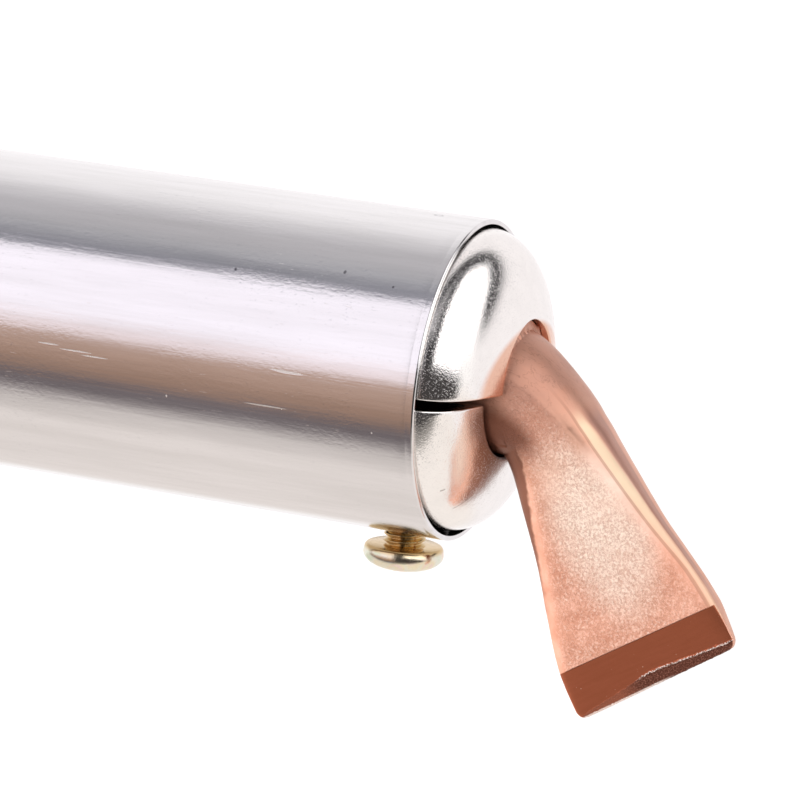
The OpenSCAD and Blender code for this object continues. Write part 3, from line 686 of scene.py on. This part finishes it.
def wood():
    """Turned beech with a red-brown lacquer."""
    m, g = material("turned_wood")
    c = g.coords()
    x, y, z = g.sep(c)
    bend = g.noise(g.stretch(c, (0.012, 0.05, 0.05)), 1, 2)
    yy = g.add(g.add(y, 31.0), g.mul(bend, 16.0))
    zz = g.add(g.add(z, 12.0), g.mul(bend, 9.0))
    r = g.math("SQRT", g.add(g.mul(yy, yy), g.mul(zz, zz)))
    ring = g.math("FRACT", g.mul(g.add(r, g.mul(g.noise(g.stretch(c, (0.02, 0.3, 0.3)), 1, 3), 2.0)), 0.42))
    ring = g.mul(g.step(ring, 0.0, 0.75), g.step(ring, 1.0, 0.86))
    fibre = g.noise(g.stretch(c, (0.10, 3.5, 3.5)), 1, 4, 0.65)
    pore = g.step(g.noise(g.stretch(c, (0.35, 6.5, 6.5)), 1, 2), 0.66, 0.74)
    col = g.mix(ring, (0.46, 0.20, 0.075), (0.29, 0.105, 0.038))
    col = g.mix(g.lin(fibre, 0.3, 0.7, 0, 0.55), col, (0.55, 0.27, 0.11))
    col = g.mix(g.mul(pore, 0.6), col, (0.12, 0.045, 0.02))
    turned = g.math("SINE", g.mul(x, 9.0))
    n = g.bump(g.add(g.mul(fibre, 0.6), g.mul(pore, -1.0)), 0.03)
    n = g.bump(turned, 0.004, 0.6, n)
    g.finish(col, g.lin(fibre, 0.3, 0.7, 0.30, 0.42), n, 0.0, Coat_Weight=0.45, Coat_Roughness=0.12)
    return m


def moulded(name, lo, hi, r0, r1, fine=6.0, depth=0.02, coat=0.0):
    """Moulded or fired stuff: fine grain, slightly clouded."""
    m, g = material(name)
    c = g.coords()
    cloud = g.noise(c, 0.6, 4, 0.6)
    gr = g.noise(c, fine, 4, 0.6)
    speck = g.step(g.noise(c, fine * 1.7, 2), 0.66, 0.74)
    n = g.bump(g.add(gr, g.mul(speck, -0.6)), depth)
    col = g.mix(g.lin(cloud, 0.3, 0.7, 0, 1), lo, hi)
    col = g.mix(g.mul(speck, 0.4), col, tuple(k * 0.6 for k in lo))
    g.finish(col, g.lin(gr, 0.3, 0.7, r0, r1), n, 0.0, Coat_Weight=coat, Coat_Roughness=0.2)
    return m


def mica():
    """Built-up mica: flaky sheet, golden grey."""
    m, g = material("mica")
    c = g.coords()
    f = g.cells(g.stretch(c, (0.5, 0.8, 0.8)), 1.0)
    k = g.noise(c, 3.0, 4, 0.6)
    col = g.mix(g.lin(f, 0.1, 0.7, 0, 1), (0.62, 0.50, 0.30), (0.78, 0.70, 0.50))
    col = g.mix(g.lin(k, 0.4, 0.7, 0, 0.4), col, (0.40, 0.32, 0.20))
    g.finish(col, g.lin(k, 0.3, 0.7, 0.25, 0.5), g.bump(g.add(f, g.mul(k, 0.4)), 0.03), 0.0)
    return m


M = {
    "barrel_steel": drawn_steel(),
    "nickel_plate": nickel("nickel_plate"),
    "copper": copper(),
    "yellow_zinc": yellow_zinc(),
    "satin_steel": plain_metal("satin_steel", (0.66, 0.65, 0.65), (0.78, 0.77, 0.77), 0.20, 0.34, 6.0, 0.008, (0.6, 0.05, 0.05)),
    "neck_steel": plain_metal("neck_steel", (0.62, 0.60, 0.58), (0.75, 0.74, 0.73), 0.22, 0.38, 5.0, 0.010, (0.05, 3.0, 3.0)),
    "screw_steel": plain_metal("screw_steel", (0.70, 0.70, 0.71), (0.82, 0.82, 0.83), 0.15, 0.28, 7.0, 0.006),
    "inner_steel": plain_metal("inner_steel", (0.45, 0.44, 0.43), (0.60, 0.59, 0.58), 0.30, 0.50, 4.0, 0.015),
    "scaled_steel": plain_metal("scaled_steel", (0.30, 0.27, 0.25), (0.46, 0.42, 0.39), 0.38, 0.62, 3.0, 0.03, None, 0.7),
    "resistance_wire": plain_metal("resistance_wire", (0.30, 0.29, 0.28), (0.46, 0.44, 0.42), 0.35, 0.55, 6.0, 0.01, None, 0.4),
    "mica": mica(),
    "ceramic": moulded("ceramic", (0.80, 0.77, 0.70), (0.90, 0.88, 0.83), 0.25, 0.45, 5.0, 0.012),
    "brass": plain_metal("brass", (0.78, 0.58, 0.26), (0.88, 0.70, 0.36), 0.18, 0.32, 6.0, 0.008),
    "turned_wood": wood(),
    "black_bakelite": moulded("black_bakelite", (0.018, 0.014, 0.013), (0.032, 0.026, 0.023), 0.22, 0.36, 5.0, 0.010, 0.3),
    "black_rubber": moulded("black_rubber", (0.022, 0.022, 0.023), (0.036, 0.036, 0.038), 0.55, 0.75, 7.0, 0.020),
    "brown_fibre": moulded("brown_fibre", (0.20, 0.09, 0.04), (0.30, 0.15, 0.07), 0.5, 0.7, 4.0, 0.03),
}


# ------------------------------------------------------------------ barrel
def barrel():
    prof = [(0, RB, 0.10), (0, R, 0.26), (-0.86, R, 0), (-0.98, R - 0.022, 0), (-1.10, R, 0),
            (XB, R, 0.12), (XB, RB, 0.10)]
    prof = spread(fillet(prof, 8), 1.2)
    cut = [rod((-SX, 0, 0), (0, 0, -1), 2.75, 16, 22, 64)]
    cut += [rod((XB + 5, 0, 0), out(a), 1.6, 16, 22, 40) for a in (31, 151, 271)]
    v, f = lathe(prof, 256)
    return piece("barrel_tube", v, f, "iron", M["barrel_steel"], "barrel", "barrel_steel", 30, cut=cut)


# ------------------------------------------------------------------ nose jaws
def skin(m, r, h, t, x0):
    """Point (x, radius) of a dome at t: 0 at its top, 90 at its rim."""
    return x0 + h * math.cos(rad(t)) ** (2 / m), r * math.sin(rad(t)) ** (2 / m)


def jaw_outline(m, hole, hub_x, hub_r, lip, q):
    """Closed (x, r) outline of a jaw's dome, dense and smooth; the hole's edge is rounded by q."""
    x0, ri, hi = -1.2, JR - JW, JH - JW - 0.1
    fx = x0 + JH * (1 - ((hole + q) / JR) ** m) ** (1 / m)

    def side(r, h, r_in, n):
        pts = [skin(m, r, h, 90 * (1 - k / 400), x0) for k in range(401)]
        pts = [p for p in pts if p[1] > r_in]
        xe = x0 + h * (1 - (r_in / r) ** m) ** (1 / m)
        pts.append((xe, r_in))
        d = np.r_[0, np.cumsum([math.dist(a, b) for a, b in zip(pts, pts[1:])])]
        t = np.linspace(0, d[-1], n)
        return list(zip(np.interp(t, d, [p[0] for p in pts]), np.interp(t, d, [p[1] for p in pts])))

    o = side(JR, JH, hole + q, 60)
    o += [(fx - q + q * math.cos(rad(a)), hole + q - q * math.sin(rad(a))) for a in range(9, 91, 9)]
    o += [(hub_x, hole), (hub_x, hub_r)]
    o += side(ri, hi, hub_r, 26)[::-1]
    o += [(x0 - lip, ri), (x0 - lip + 0.0, JR - 0.15), (x0 - lip + 0.15, JR)]
    return o


def half_turn(outl, cut_z, sign, n=150, b=0.16):
    """The part of a turned shape on one side of the plane z = cut_z, with its cut edges rounded by b."""
    o = np.array(outl, float)
    d = np.roll(o, -1, 0) - np.roll(o, 1, 0)
    area = 0.5 * np.sum(o[:, 0] * np.roll(o[:, 1], -1) - np.roll(o[:, 0], -1) * o[:, 1])
    nrm = np.c_[d[:, 1], -d[:, 0]] * (1 if area > 0 else -1)
    nrm /= np.linalg.norm(nrm, axis=1)[:, None] + 1e-12
    rings = []
    for h, ins in [(abs(cut_z), b), (abs(cut_z) + 0.08 * b, 0.6 * b), (abs(cut_z) + 0.35 * b, 0.25 * b), (abs(cut_z) + b, 0.0)]:
        p = o - nrm * ins
        rings.append((h, p))
    rings_v = []
    for h, p in rings:
        rings_v.append([(x, math.sqrt(max(r * r - h * h, 0)), sign * h) for x, r in p])
    for k in range(1, n):
        ring = []
        for x, r in o:
            t0 = math.asin(min(1, (abs(cut_z) + b) / r))
            t = t0 + (math.pi - 2 * t0) * k / n
            ring.append((x, r * math.cos(t), sign * r * math.sin(t)))
        rings_v.append(ring)
    for h, p in rings[::-1]:
        rings_v.append([(x, -math.sqrt(max(r * r - h * h, 0)), sign * h) for x, r in p])
    return rings_v


def upper_jaw():
    rv = half_turn(jaw_outline(2.4, 8.1, -14, 10.4, 1.9, 0.3), 0.45, 1)
    rib = block(-14, -4, -3, 3, 9.6, 18.1, 0.4)
    v, f = join(tubeof(rv), rib)
    return piece("nose_jaw_upper", v, f, "upper_jaw", M["nickel_plate"], "nose_upper_jaw", "nickel_plate", 35)


def lower_jaw():
    lift, rec, tw = 0.2, 1.8, rad(-3.8)
    rv = half_turn(jaw_outline(3.5, 7.55, 2, 10, 0.9, 0.7), 0.85 + lift, -1)
    pts = []
    for ring in rv:
        q = []
        for x, y, z in ring:
            r = math.hypot(y, z)
            # the hole is round about the bit's shank, not about the jaw
            if r < 11:
                s = z / r
                rh = -lift * s + math.sqrt(max(8.12 ** 2 - lift ** 2 * (1 - s * s), 0))
                w = min(1, max(0, (11 - r) / (11 - 7.55)))
                r2 = r + (rh - 7.55) * w
                y, z = y * r2 / r, z * r2 / r
                z = min(z, -(0.85 + lift))
            q.append((x * math.cos(tw) - y * math.sin(tw) - rec, x * math.sin(tw) + y * math.cos(tw), z + lift))
        pts.append(q)
    tz = -SEAT + 10.3
    tongue = block(-12, 4.0, -3.5, 3.5, tz, -8.05, 0.3)
    v, f = join(tubeof(pts), tongue)
    return piece("nose_jaw_lower", v, f, "lower_jaw", M["nickel_plate"], "nose_lower_jaw", "nickel_plate", 35)


# ------------------------------------------------------------------ copper bit
BEND_L, BEND_A, SLANT, BS = 9.4, 61.0, 4.8, 3.0
HALF_W = [7.96, 5.56, 6.3, 7.2, 8.2, 9.6, 10.7, 10.9]
HALF_T = [7.96, 7.1, 5.1, 3.65, 2.5, 1.9, 1.7, 1.6]
SQUARE = [2, 2.2, 2.7, 3.5, 4.6, 6, 7.5, 8]


def smooth(v, t):
    k = len(v) - 1
    x = min(max(t, 0), 1) * k
    i = min(int(x), k - 1)
    f = x - i
    e = lambda j: 2 * v[0] - v[1] if j < 0 else 2 * v[-1] - v[-2] if j > k else v[j]
    a, b, c, d = e(i - 1), e(i), e(i + 1), e(i + 2)
    return 0.5 * (2 * b + (c - a) * f + (2 * a - 5 * b + 4 * c - d) * f * f + (3 * b - a - 3 * c + d) * f ** 3)


def mid(l):
    q = rad(BEND_A * min(max(l / BEND_L, 0), 1))
    rr = BEND_L / rad(BEND_A)
    s = max(0, l - BEND_L)
    return (BS + rr * math.sin(q) + s * math.cos(rad(BEND_A)), rr * (1 - math.cos(q)) + s * math.sin(rad(BEND_A))), q


def outline_ring(w, h, m, per=64):
    """Points (u, v) of a squarish ring, closer together on its corners."""
    t = np.linspace(0, math.pi / 2, 900)
    k = (np.cos(t) ** m + np.sin(t) ** m) ** (-1 / m)
    u, v = w * k * np.cos(t), h * k * np.sin(t)
    du, dv = np.gradient(u), np.gradient(v)
    ds = np.hypot(du, dv)
    ang = np.unwrap(np.arctan2(dv, du))
    meas = np.r_[0, np.cumsum((ds[1:] + ds[:-1]) / 2 + 2.6 * np.abs(np.diff(ang)))]
    s = np.linspace(0, meas[-1], per + 1)[:-1]
    q = np.c_[np.interp(s, meas, u), np.interp(s, meas, v)]
    q2 = np.c_[np.interp(meas[-1] - s, meas, u), np.interp(meas[-1] - s, meas, v)]
    # four quarters: along a = 0, 90, 180, 270
    return np.concatenate([q, np.c_[-q2[:, 0], q2[:, 1]], np.c_[-q[:, 0], -q[:, 1]], np.c_[q2[:, 0], -q2[:, 1]]])


def heel(l):
    """The neck is fuller on the inside of the bend."""
    return 1.5 * hump(l, 7, 2.5) + 0.5 * hump(l, 3.6, 1.7)


def hump(l, c, w):
    return math.exp(-((l - c) / w) ** 2)


def hole_fit(p):
    """Keeps the neck's points inside the jaws' hole."""
    x, y, z = p.T
    t = np.clip((5.5 - np.abs(y)) / 2, 0, 1)
    lim = np.where(x > 6.6, 99.0, 8 + 2 * np.maximum(0, x - 5) * t)
    k = np.minimum(1, lim / np.maximum(np.hypot(y, z), 1e-6))
    return np.c_[x, k * y, k * z]


def bit():
    per = 66
    rings, info = [], []

    def put(l, uv, w, h, c, o, bev):
        u, v = uv[:, 0] * np.where(uv[:, 0] > 0, 1 + heel(l) / w, 1.0), -uv[:, 1]
        p = np.c_[c[0] - math.sin(o) * u, v, -(c[1] + math.cos(o) * u)]
        rings.append(hole_fit(p) if l > -BS else p)
        info.append((l, u, v, w, h, bev))

    circle = outline_ring(8, 8, 2, per)
    for x, r in [(-95, 7), (-94.9, 7.2), (-94, 8)] + [(x, 8) for x in (-93, -80, -60, -40, -20, -8, -4, -2, -1, 0, 0.6)] + \
            [(1.2, 7.995), (1.8, 7.985), (2.4, 7.97)]:
        put(x - BS, circle * (r / 8), r, r, (x, 0), 0.0, 0)
    ls = list(np.arange(0, BL - BEV - 0.35, 0.22)) + [BL - BEV - 0.30, BL - BEV - 0.15, BL - BEV - 0.05, BL - BEV + 0.05,
                                                     BL - BEV + 0.15, BL - BEV + 0.3]
    ls += list(np.arange(BL - BEV + 0.5, BL - 2.5, 0.2)) + list(np.arange(BL - 2.4, BL - 1.25, 0.09)) + list(np.linspace(BL - 1.2, BL - 0.12, 17))
    for l in ls:
        t = l / BL
        c, hd = mid(l)
        o = hd - rad(SLANT * t * t)
        f = (l - BL + CORNER) / CORNER
        cor = 0 if f <= 0 else CORNER * (1 - math.sqrt(max(0, 1 - 0.96 * f * f)))
        w = smooth(HALF_W, t) - cor
        l0 = BL - BEV
        if l <= l0:
            h = smooth(HALF_T, t)
        else:
            t0 = smooth(HALF_T, l0 / BL)
            h = t0 + (EDGE_T / 2 - t0) * (l - l0) / BEV
        h += 0.3 * hump(l, 3, 1.6)
        m = smooth(SQUARE, t)
        uv, uvi = outline_ring(w, h, m, per), outline_ring(w, h, m + 0.4 * hump(l, 4.5, 2.5), per)
        put(l, np.where(uv[:, :1] > 0, uvi, uv), w, h, c, o, 1.0 if l > l0 else 0.0)
    # the working edge is rounded over
    c, hd = mid(BL)
    o = hd - rad(SLANT)
    for l, ins in ((BL - 0.05, 0.04), (BL - 0.01, 0.12), (BL, 0.24)):
        c, hd = mid(l)
        w, h = 10.9 - 0.96 - ins, EDGE_T / 2 + 0.03 - ins
        put(l, outline_ring(w, h, 5, per), w, h, c, o, 0.4)
    P = np.array(rings)
    k, n = P.shape[:2]
    ll = np.array([q[0] for q in info])
    # the shank keeps its full size up to the mouth of the jaws' hole; torn lip at the top
    for j in range(n):
        rr = np.hypot(P[:, j, 1], P[:, j, 2])
        top = P[:, j, 2] > 0
        tear = 0.25 * mn.noise(Vector((j * 0.35, 2.0, 7.0)))
        end = np.where(top, 5.9 + tear, 5.2)
        wid = np.where(top, 0.25, 0.8)
        keep = np.clip((end + wid - P[:, j, 0]) / wid, 0, 1) * (ll < 9.5)
        new = rr + np.maximum(0, 7.97 - rr) * keep
        P[:, j, 1:] *= (new / np.maximum(rr, 1e-6))[:, None]
        rows = np.where((ll > -2.5) & (ll < 9.5) & (P[:, j, 2] < 0) & (np.abs(P[:, j, 1]) < 7.5))[0]
        if len(rows):
            P[rows, j, 0] = np.maximum.accumulate(P[rows, j, 0]) + 0.002 * np.arange(len(rows))
    dl = np.gradient(P, axis=0)
    da = np.roll(P, -1, 1) - np.roll(P, 1, 1)
    N = np.cross(da, dl)
    N /= np.linalg.norm(N, axis=2)[:, :, None] + 1e-12
    # outwards
    cen = P.mean(1)[:, None, :]
    N *= np.sign(((P - cen) * N).sum(2))[:, :, None]
    along, across, front, bev, side = [np.zeros((k, n)) for _ in range(5)]
    for i, (l, u, v, w, h, b) in enumerate(info):
        along[i], across[i], front[i], side[i] = l, u, -v / max(h, 1e-6), u / w
        bev[i] = b * (np.abs(v) > 0.72 * h) if b == 1.0 else (0.0 if b == 0 else 1.0)
    disp = np.zeros((k, n))
    for i in range(k):
        l = along[i, 0]
        if l < 0.6:
            continue
        fade = min(1, (l - 0.6) / 3)
        for j in range(n):
            p = Vector(P[i, j])
            fr = abs(front[i, j])
            face = min(1, max(0, (fr - 0.80) / 0.17)) * (1 - bev[i, j])
            grain = face * min(1, max(0, (l - 4) / 5))
            d = 0.028 * mn.noise(p * 0.45) * fade * (1 - bev[i, j])
            d += grain * (0.022 * mn.noise(Vector((l * 0.9, across[i, j] * 1.9, 3.1 + p.y * 0.5))) + 0.016 * mn.noise(p * 2.3))
            d += 0.006 * mn.noise(p * 1.3) * fade
            disp[i, j] = d
    # worn facet under the bevel, with a burr along its top that is strongest on the right half
    for i in range(k):
        l = along[i, 0]
        if l < BL - 2.3:
            continue
        for j in range(n):
            if front[i, j] < 0.3:
                continue
            a, e = across[i, j], BL - l
            d = min(0.95 + 0.08 * (a + 10), 1.75 - 0.135 * max(a, 0))
            rag = mn.noise(Vector((a * 2.1, l * 1.5, 9.0)))
            q = min(1, max(0, (3.0 - a) / 3))
            disp[i, j] += q * (0.09 + 0.09 * rag) * math.exp(-((e - d + 0.12 * mn.noise(Vector((a * 1.1, 4, 2)))) / 0.13) ** 2)
            if e < d:
                disp[i, j] += (0.3 + 0.7 * q) * 0.05 * mn.noise(Vector((a * 3.5, l * 3.5, 2.0))) - 0.02 * q
    P = P + N * disp[:, :, None]
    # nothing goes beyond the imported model's box
    W = P @ TOOL_NP[:3, :3].T + TOOL_NP[:3, 3]
    W = np.clip(W, CAD_BOX[0], CAD_BOX[1])
    P = (W - TOOL_NP[:3, 3]) @ np.linalg.inv(TOOL_NP[:3, :3]).T
    v, f = tubeof([list(map(tuple, r)) for r in P])
    return piece("copper_bit", v, f, "bit", M["copper"], "soldering_bit", "copper", 19,
                 attrs={"along": along.ravel(), "across": across.ravel(), "front": front.ravel(), "bevel": bev.ravel(),
                        "side": side.ravel()})


# ------------------------------------------------------------------ clamp screw
def clamp_screw():
    """Pan head, cross recess and a cut thread; the axis is -z at x = -SX."""
    # the head is turned about its own axis, built along x and then stood up
    r = lambda d: None
    prof = [(0.0, 0.0), (0.0, 2.3)]
    prof += [(0.0, HD * 0.45), (HH * 0.03, HD * 0.470), (HH * 0.10, HD * 0.487)]
    prof += [(HH * (0.32 + 0.68 * math.sin(rad(t)) ** 0.9), HD / 2 * math.cos(rad(t)) ** 0.8) for t in np.linspace(0, 90, 40)]
    v, f = lathe([(x, max(rr, 0.0)) for x, rr in prof], 128)
    head = [(-SX + y, z, -SEAT - x) for x, y, z in v]
    # thread: crest 2.5, root 2.05, pitch 0.8, one closed grid
    rows = []
    for z in [0.35] + list(np.arange(0.30, -10.2, -0.05)) + [-10.25]:
        row = []
        for k in range(72):
            t = k / 72
            ph = ((z / 0.8) + t) % 1.0
            tri = min(1, max(0, (abs(ph - 0.5) * 2 - 0.12) / 0.72))
            rr = 2.5 - 0.42 * (1 - tri)
            if z < -9.7:
                rr = min(rr, 2.5 - (-9.7 - z) * 0.9)
            row.append((-SX + rr * math.cos(2 * math.pi * t), rr * math.sin(2 * math.pi * t), -SEAT - z))
        rows.append(row)
    thread = tubeof(rows)
    cut = []
    for a in (45, 135):
        c, s = math.cos(rad(a)), math.sin(rad(a))
        q = []
        for d, wl, ww in ((HH * 1.1, 2.95, 0.58), (HH * 0.42, 1.3, 0.42)):
            q.append([(-SX + c * x - s * y, s * x + c * y, -SEAT - d) for x, y in ((wl, ww), (-wl, ww), (-wl, -ww), (wl, -ww))])
        cut.append(tubeof(q))
    ob = piece("clamp_screw_head", head, f, "screw", M["yellow_zinc"], None, "yellow_zinc", 28, cut=cut)
    th = piece("clamp_screw_thread", *thread, "screw", M["yellow_zinc"], None, "yellow_zinc", 50)
    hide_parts("clamp_screw")
    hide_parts("clamp_screw")
    return ob


# ------------------------------------------------------------------ rear parts
def rear():
    cap = [(XB + 9, RB - 0.05, 0.2), (XB, RB - 0.05, 0), (XB, R, 0.1), (XB - 0.7, R, 0.5), (XB - 2.4, R - 1, 2.5),
           (XB - 4.4, R - 3.5, 4), (XB - 5.8, R - 6, 5), (XB - 7, NR + 2.2, 1.5), (XB - 8.6, NR + 1.4, 1.2),
           (XB - 10, NR + 1.2, 2), (XB - 15, NR + 1.2, 0.3), (XB - 15, NR + 0.1, 0.2), (XB - 7.8, NR + 0.1, 0.5),
           (XB - 6, NR + 1.4, 1.0), (XB - 4.7, R - 6.3, 3), (XB - 3.3, R - 3.8, 3), (XB - 1, RB - 1, 1.5), (XB + 9, RB - 1, 0.2)]
    cut = [rod((XB + 5, 0, 0), out(a), 1.55, 15, 19, 40) for a in (31, 151, 271)]
    cut += [rod((XB - 12.5, 0, 0), out(a), 1.25, 9, 13, 40) for a in (30.5, 150.5, 270.5)]
    v, f = lathe(fillet(cap, 10), 192)
    piece("rear_cap", v, f, "iron", M["satin_steel"], "barrel_rear_cap", "satin_steel", 30, cut=cut)

    fer = [(XH + 0.8, NR + 0.15, 0.15), (XH + 0.8, 12.6, 0.4), (XH + 0.5, 13.4, 0.5), (XH - 0.4, 13.8, 0.5), (XH - 14.2, 13.8, 0.3),
           (XH - 14.6, 13.62, 0.2), (XH - 15.4, 13.62, 0.2), (XH - 15.8, 13.8, 0.3), (XH - 17, 13.8, 0.3), (XH - 17.3, 14.1, 0.15),
           (XH - 18, 14.1, 0.15), (XH - 18, 13.05, 0.1), (XH, 13.05, 0.2), (XH, NR + 0.15, 0.1)]
    v, f = lathe(fillet(fer, 6), 192)
    piece("ferrule", v, f, "iron", M["satin_steel"], "handle_ferrule", "satin_steel", 30,
          cut=[rod((XH - 9, 0, 0), out(a), 1.5, 11, 16, 40) for a in (60.5, 240.5)])

    g0 = 37.2 / 2
    vals = [15.6, g0 - 0.6, g0 - 2.6, g0 - 3.4, g0 - 2.2, g0 - 0.7, g0, g0 - 0.1, g0 - 0.4, g0 - 0.9, 17.1]
    xs = np.linspace(XH - 18.1, XE, 220)
    grip = [(x, smooth(vals, (x - XH + 18.1) / (XE - XH + 18.1))) for x in xs]
    # rounded front and rear edges, and a pair of turned lines behind the flare
    prof = [(XH - 0.05, NR + 0.05), (XH - 0.05, 12.8), (XH - 0.25, 13.0), (XH - 18.1, 13.0), (XH - 18.1, 15.0)]
    for x, r in grip:
        d0, d1 = (XH - 18.1) - x, x - XE
        if d0 < 0.6:
            r = min(r, 15.0 + math.sqrt(max(0, 0.6 ** 2 - (0.6 - d0) ** 2)))
        if d1 < 0.5:
            r = r - 0.5 + math.sqrt(max(0, 0.5 ** 2 - (0.5 - d1) ** 2))
        for c in (XH - 26.0, XH - 28.2):
            r -= 0.35 * math.exp(-((x - c) / 0.45) ** 2)
        prof.append((x, r))
    prof += [(XE, 11.5), (XB - 82.5, 11.5), (XB - 82.5, NR + 0.05)]
    v, f = lathe(prof, 192)
    piece("wood_grip", v, f, "iron", M["turned_wood"], "wooden_handle", "turned_wood", 32,
          cut=[rod((XH - 9, 0, 0), out(a), 1.45, 8, 14, 32) for a in (60.5, 240.5)]
          + [rod((XE - 1, s * 13.3, 0), (1, 0, 0), 1.3, 0, 13, 32) for s in (-1, 1)])

    ec = [(XE + 6, 7.8, 0.2), (XE + 6, 11.4, 0.3), (XE - 0.05, 11.4, 0), (XE - 0.05, 17, 0.15), (XE - 3.4, 17, 2), (XE - 4.7, 16.75, 1.5),
          (XE - 5.9, 16, 1.2), (XE - 6.5, 15, 1.2), (XE - 6.8, 13.5, 1.0), (XE - 6.8, 6.5, 0.25), (XE + 6, 6.5, 0)]
    v, f = lathe(fillet(ec, 8), 192)
    a = piece("end_cap", v, f, "iron", M["black_bakelite"], None, "black_bakelite", 30,
              cut=[c for s in (-1, 1) for c in (rod((XE - 8, s * 13.3, 0), (1, 0, 0), 1.4, 0, 9, 32),
                                                rod((XE - 8, s * 13.3, 0), (1, 0, 0), 2.7, 0, 3.8, 40))])
    sh = block(XE + 5, XE + 20, -8.3, 8.3, -7.5, -4.5, 0.4)
    b = piece("end_cap_shelf", *sh, "iron", M["black_bakelite"], None, "black_bakelite", 30,
              cut=[rod((XE + 14, s * 6, -9), (0, 0, 1), 1.25, 0, 6, 32) for s in (-1, 1)])
    for o in (a, b):
        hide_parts("handle_end_cap")

    bu = [(XE + 8.2, 4.0, 0.3), (XE + 8.2, 7.2, 0.3), (XE + 7.6, 7.6, 0.3), (XE + 6.1, 7.6, 0.2), (XE + 6.1, 6.4, 0), (XE - 6.9, 6.4, 0),
          (XE - 6.9, 8.6, 0.3), (XE - 8, 8.6, 0.6), (XE - 8.8, 8, 0.6), (XE - 9.2, 6.6, 0.5), (XE - 12, 5.9, 0.5), (XE - 12, 4.0, 0.45)]
    v, f = lathe(fillet(bu, 6), 128)
    piece("cord_bush_rubber", v, f, "iron", M["black_rubber"], "cord_bush", "black_rubber", 30)


barrel()
upper_jaw()
lower_jaw()
bit()
clamp_screw()
rear()

# the CAD nodes that keep their own mesh
KEEP = {
    "clamp_nut_plate": "inner_steel", "front_spacer_ring": "inner_steel", "rear_spacer_ring": "inner_steel",
    "heater_sleeve": "scaled_steel", "mica_inner_sleeve": "mica", "heater_winding": "resistance_wire",
    "mica_outer_sleeve": "mica", "heater_jacket": "scaled_steel", "heater_leads": "resistance_wire",
    "ceramic_beads": "ceramic", "rear_cap_screws": "screw_steel", "neck_tube": "neck_steel", "neck_rivets": "screw_steel",
    "ferrule_screws": "screw_steel", "terminal_bracket": "inner_steel", "bracket_rivet": "screw_steel", "earth_screw": "brass",
    "terminal_block": "ceramic", "terminal_sleeves": "brass", "terminal_screws": "brass", "block_screw": "screw_steel",
    "end_cap_screws": "screw_steel", "cord_clamp_bar": "brown_fibre", "cord_clamp_screws": "screw_steel",
}
for name, key in KEEP.items():
    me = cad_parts[name].data
    me.materials.clear()
    me.materials.append(M[key])
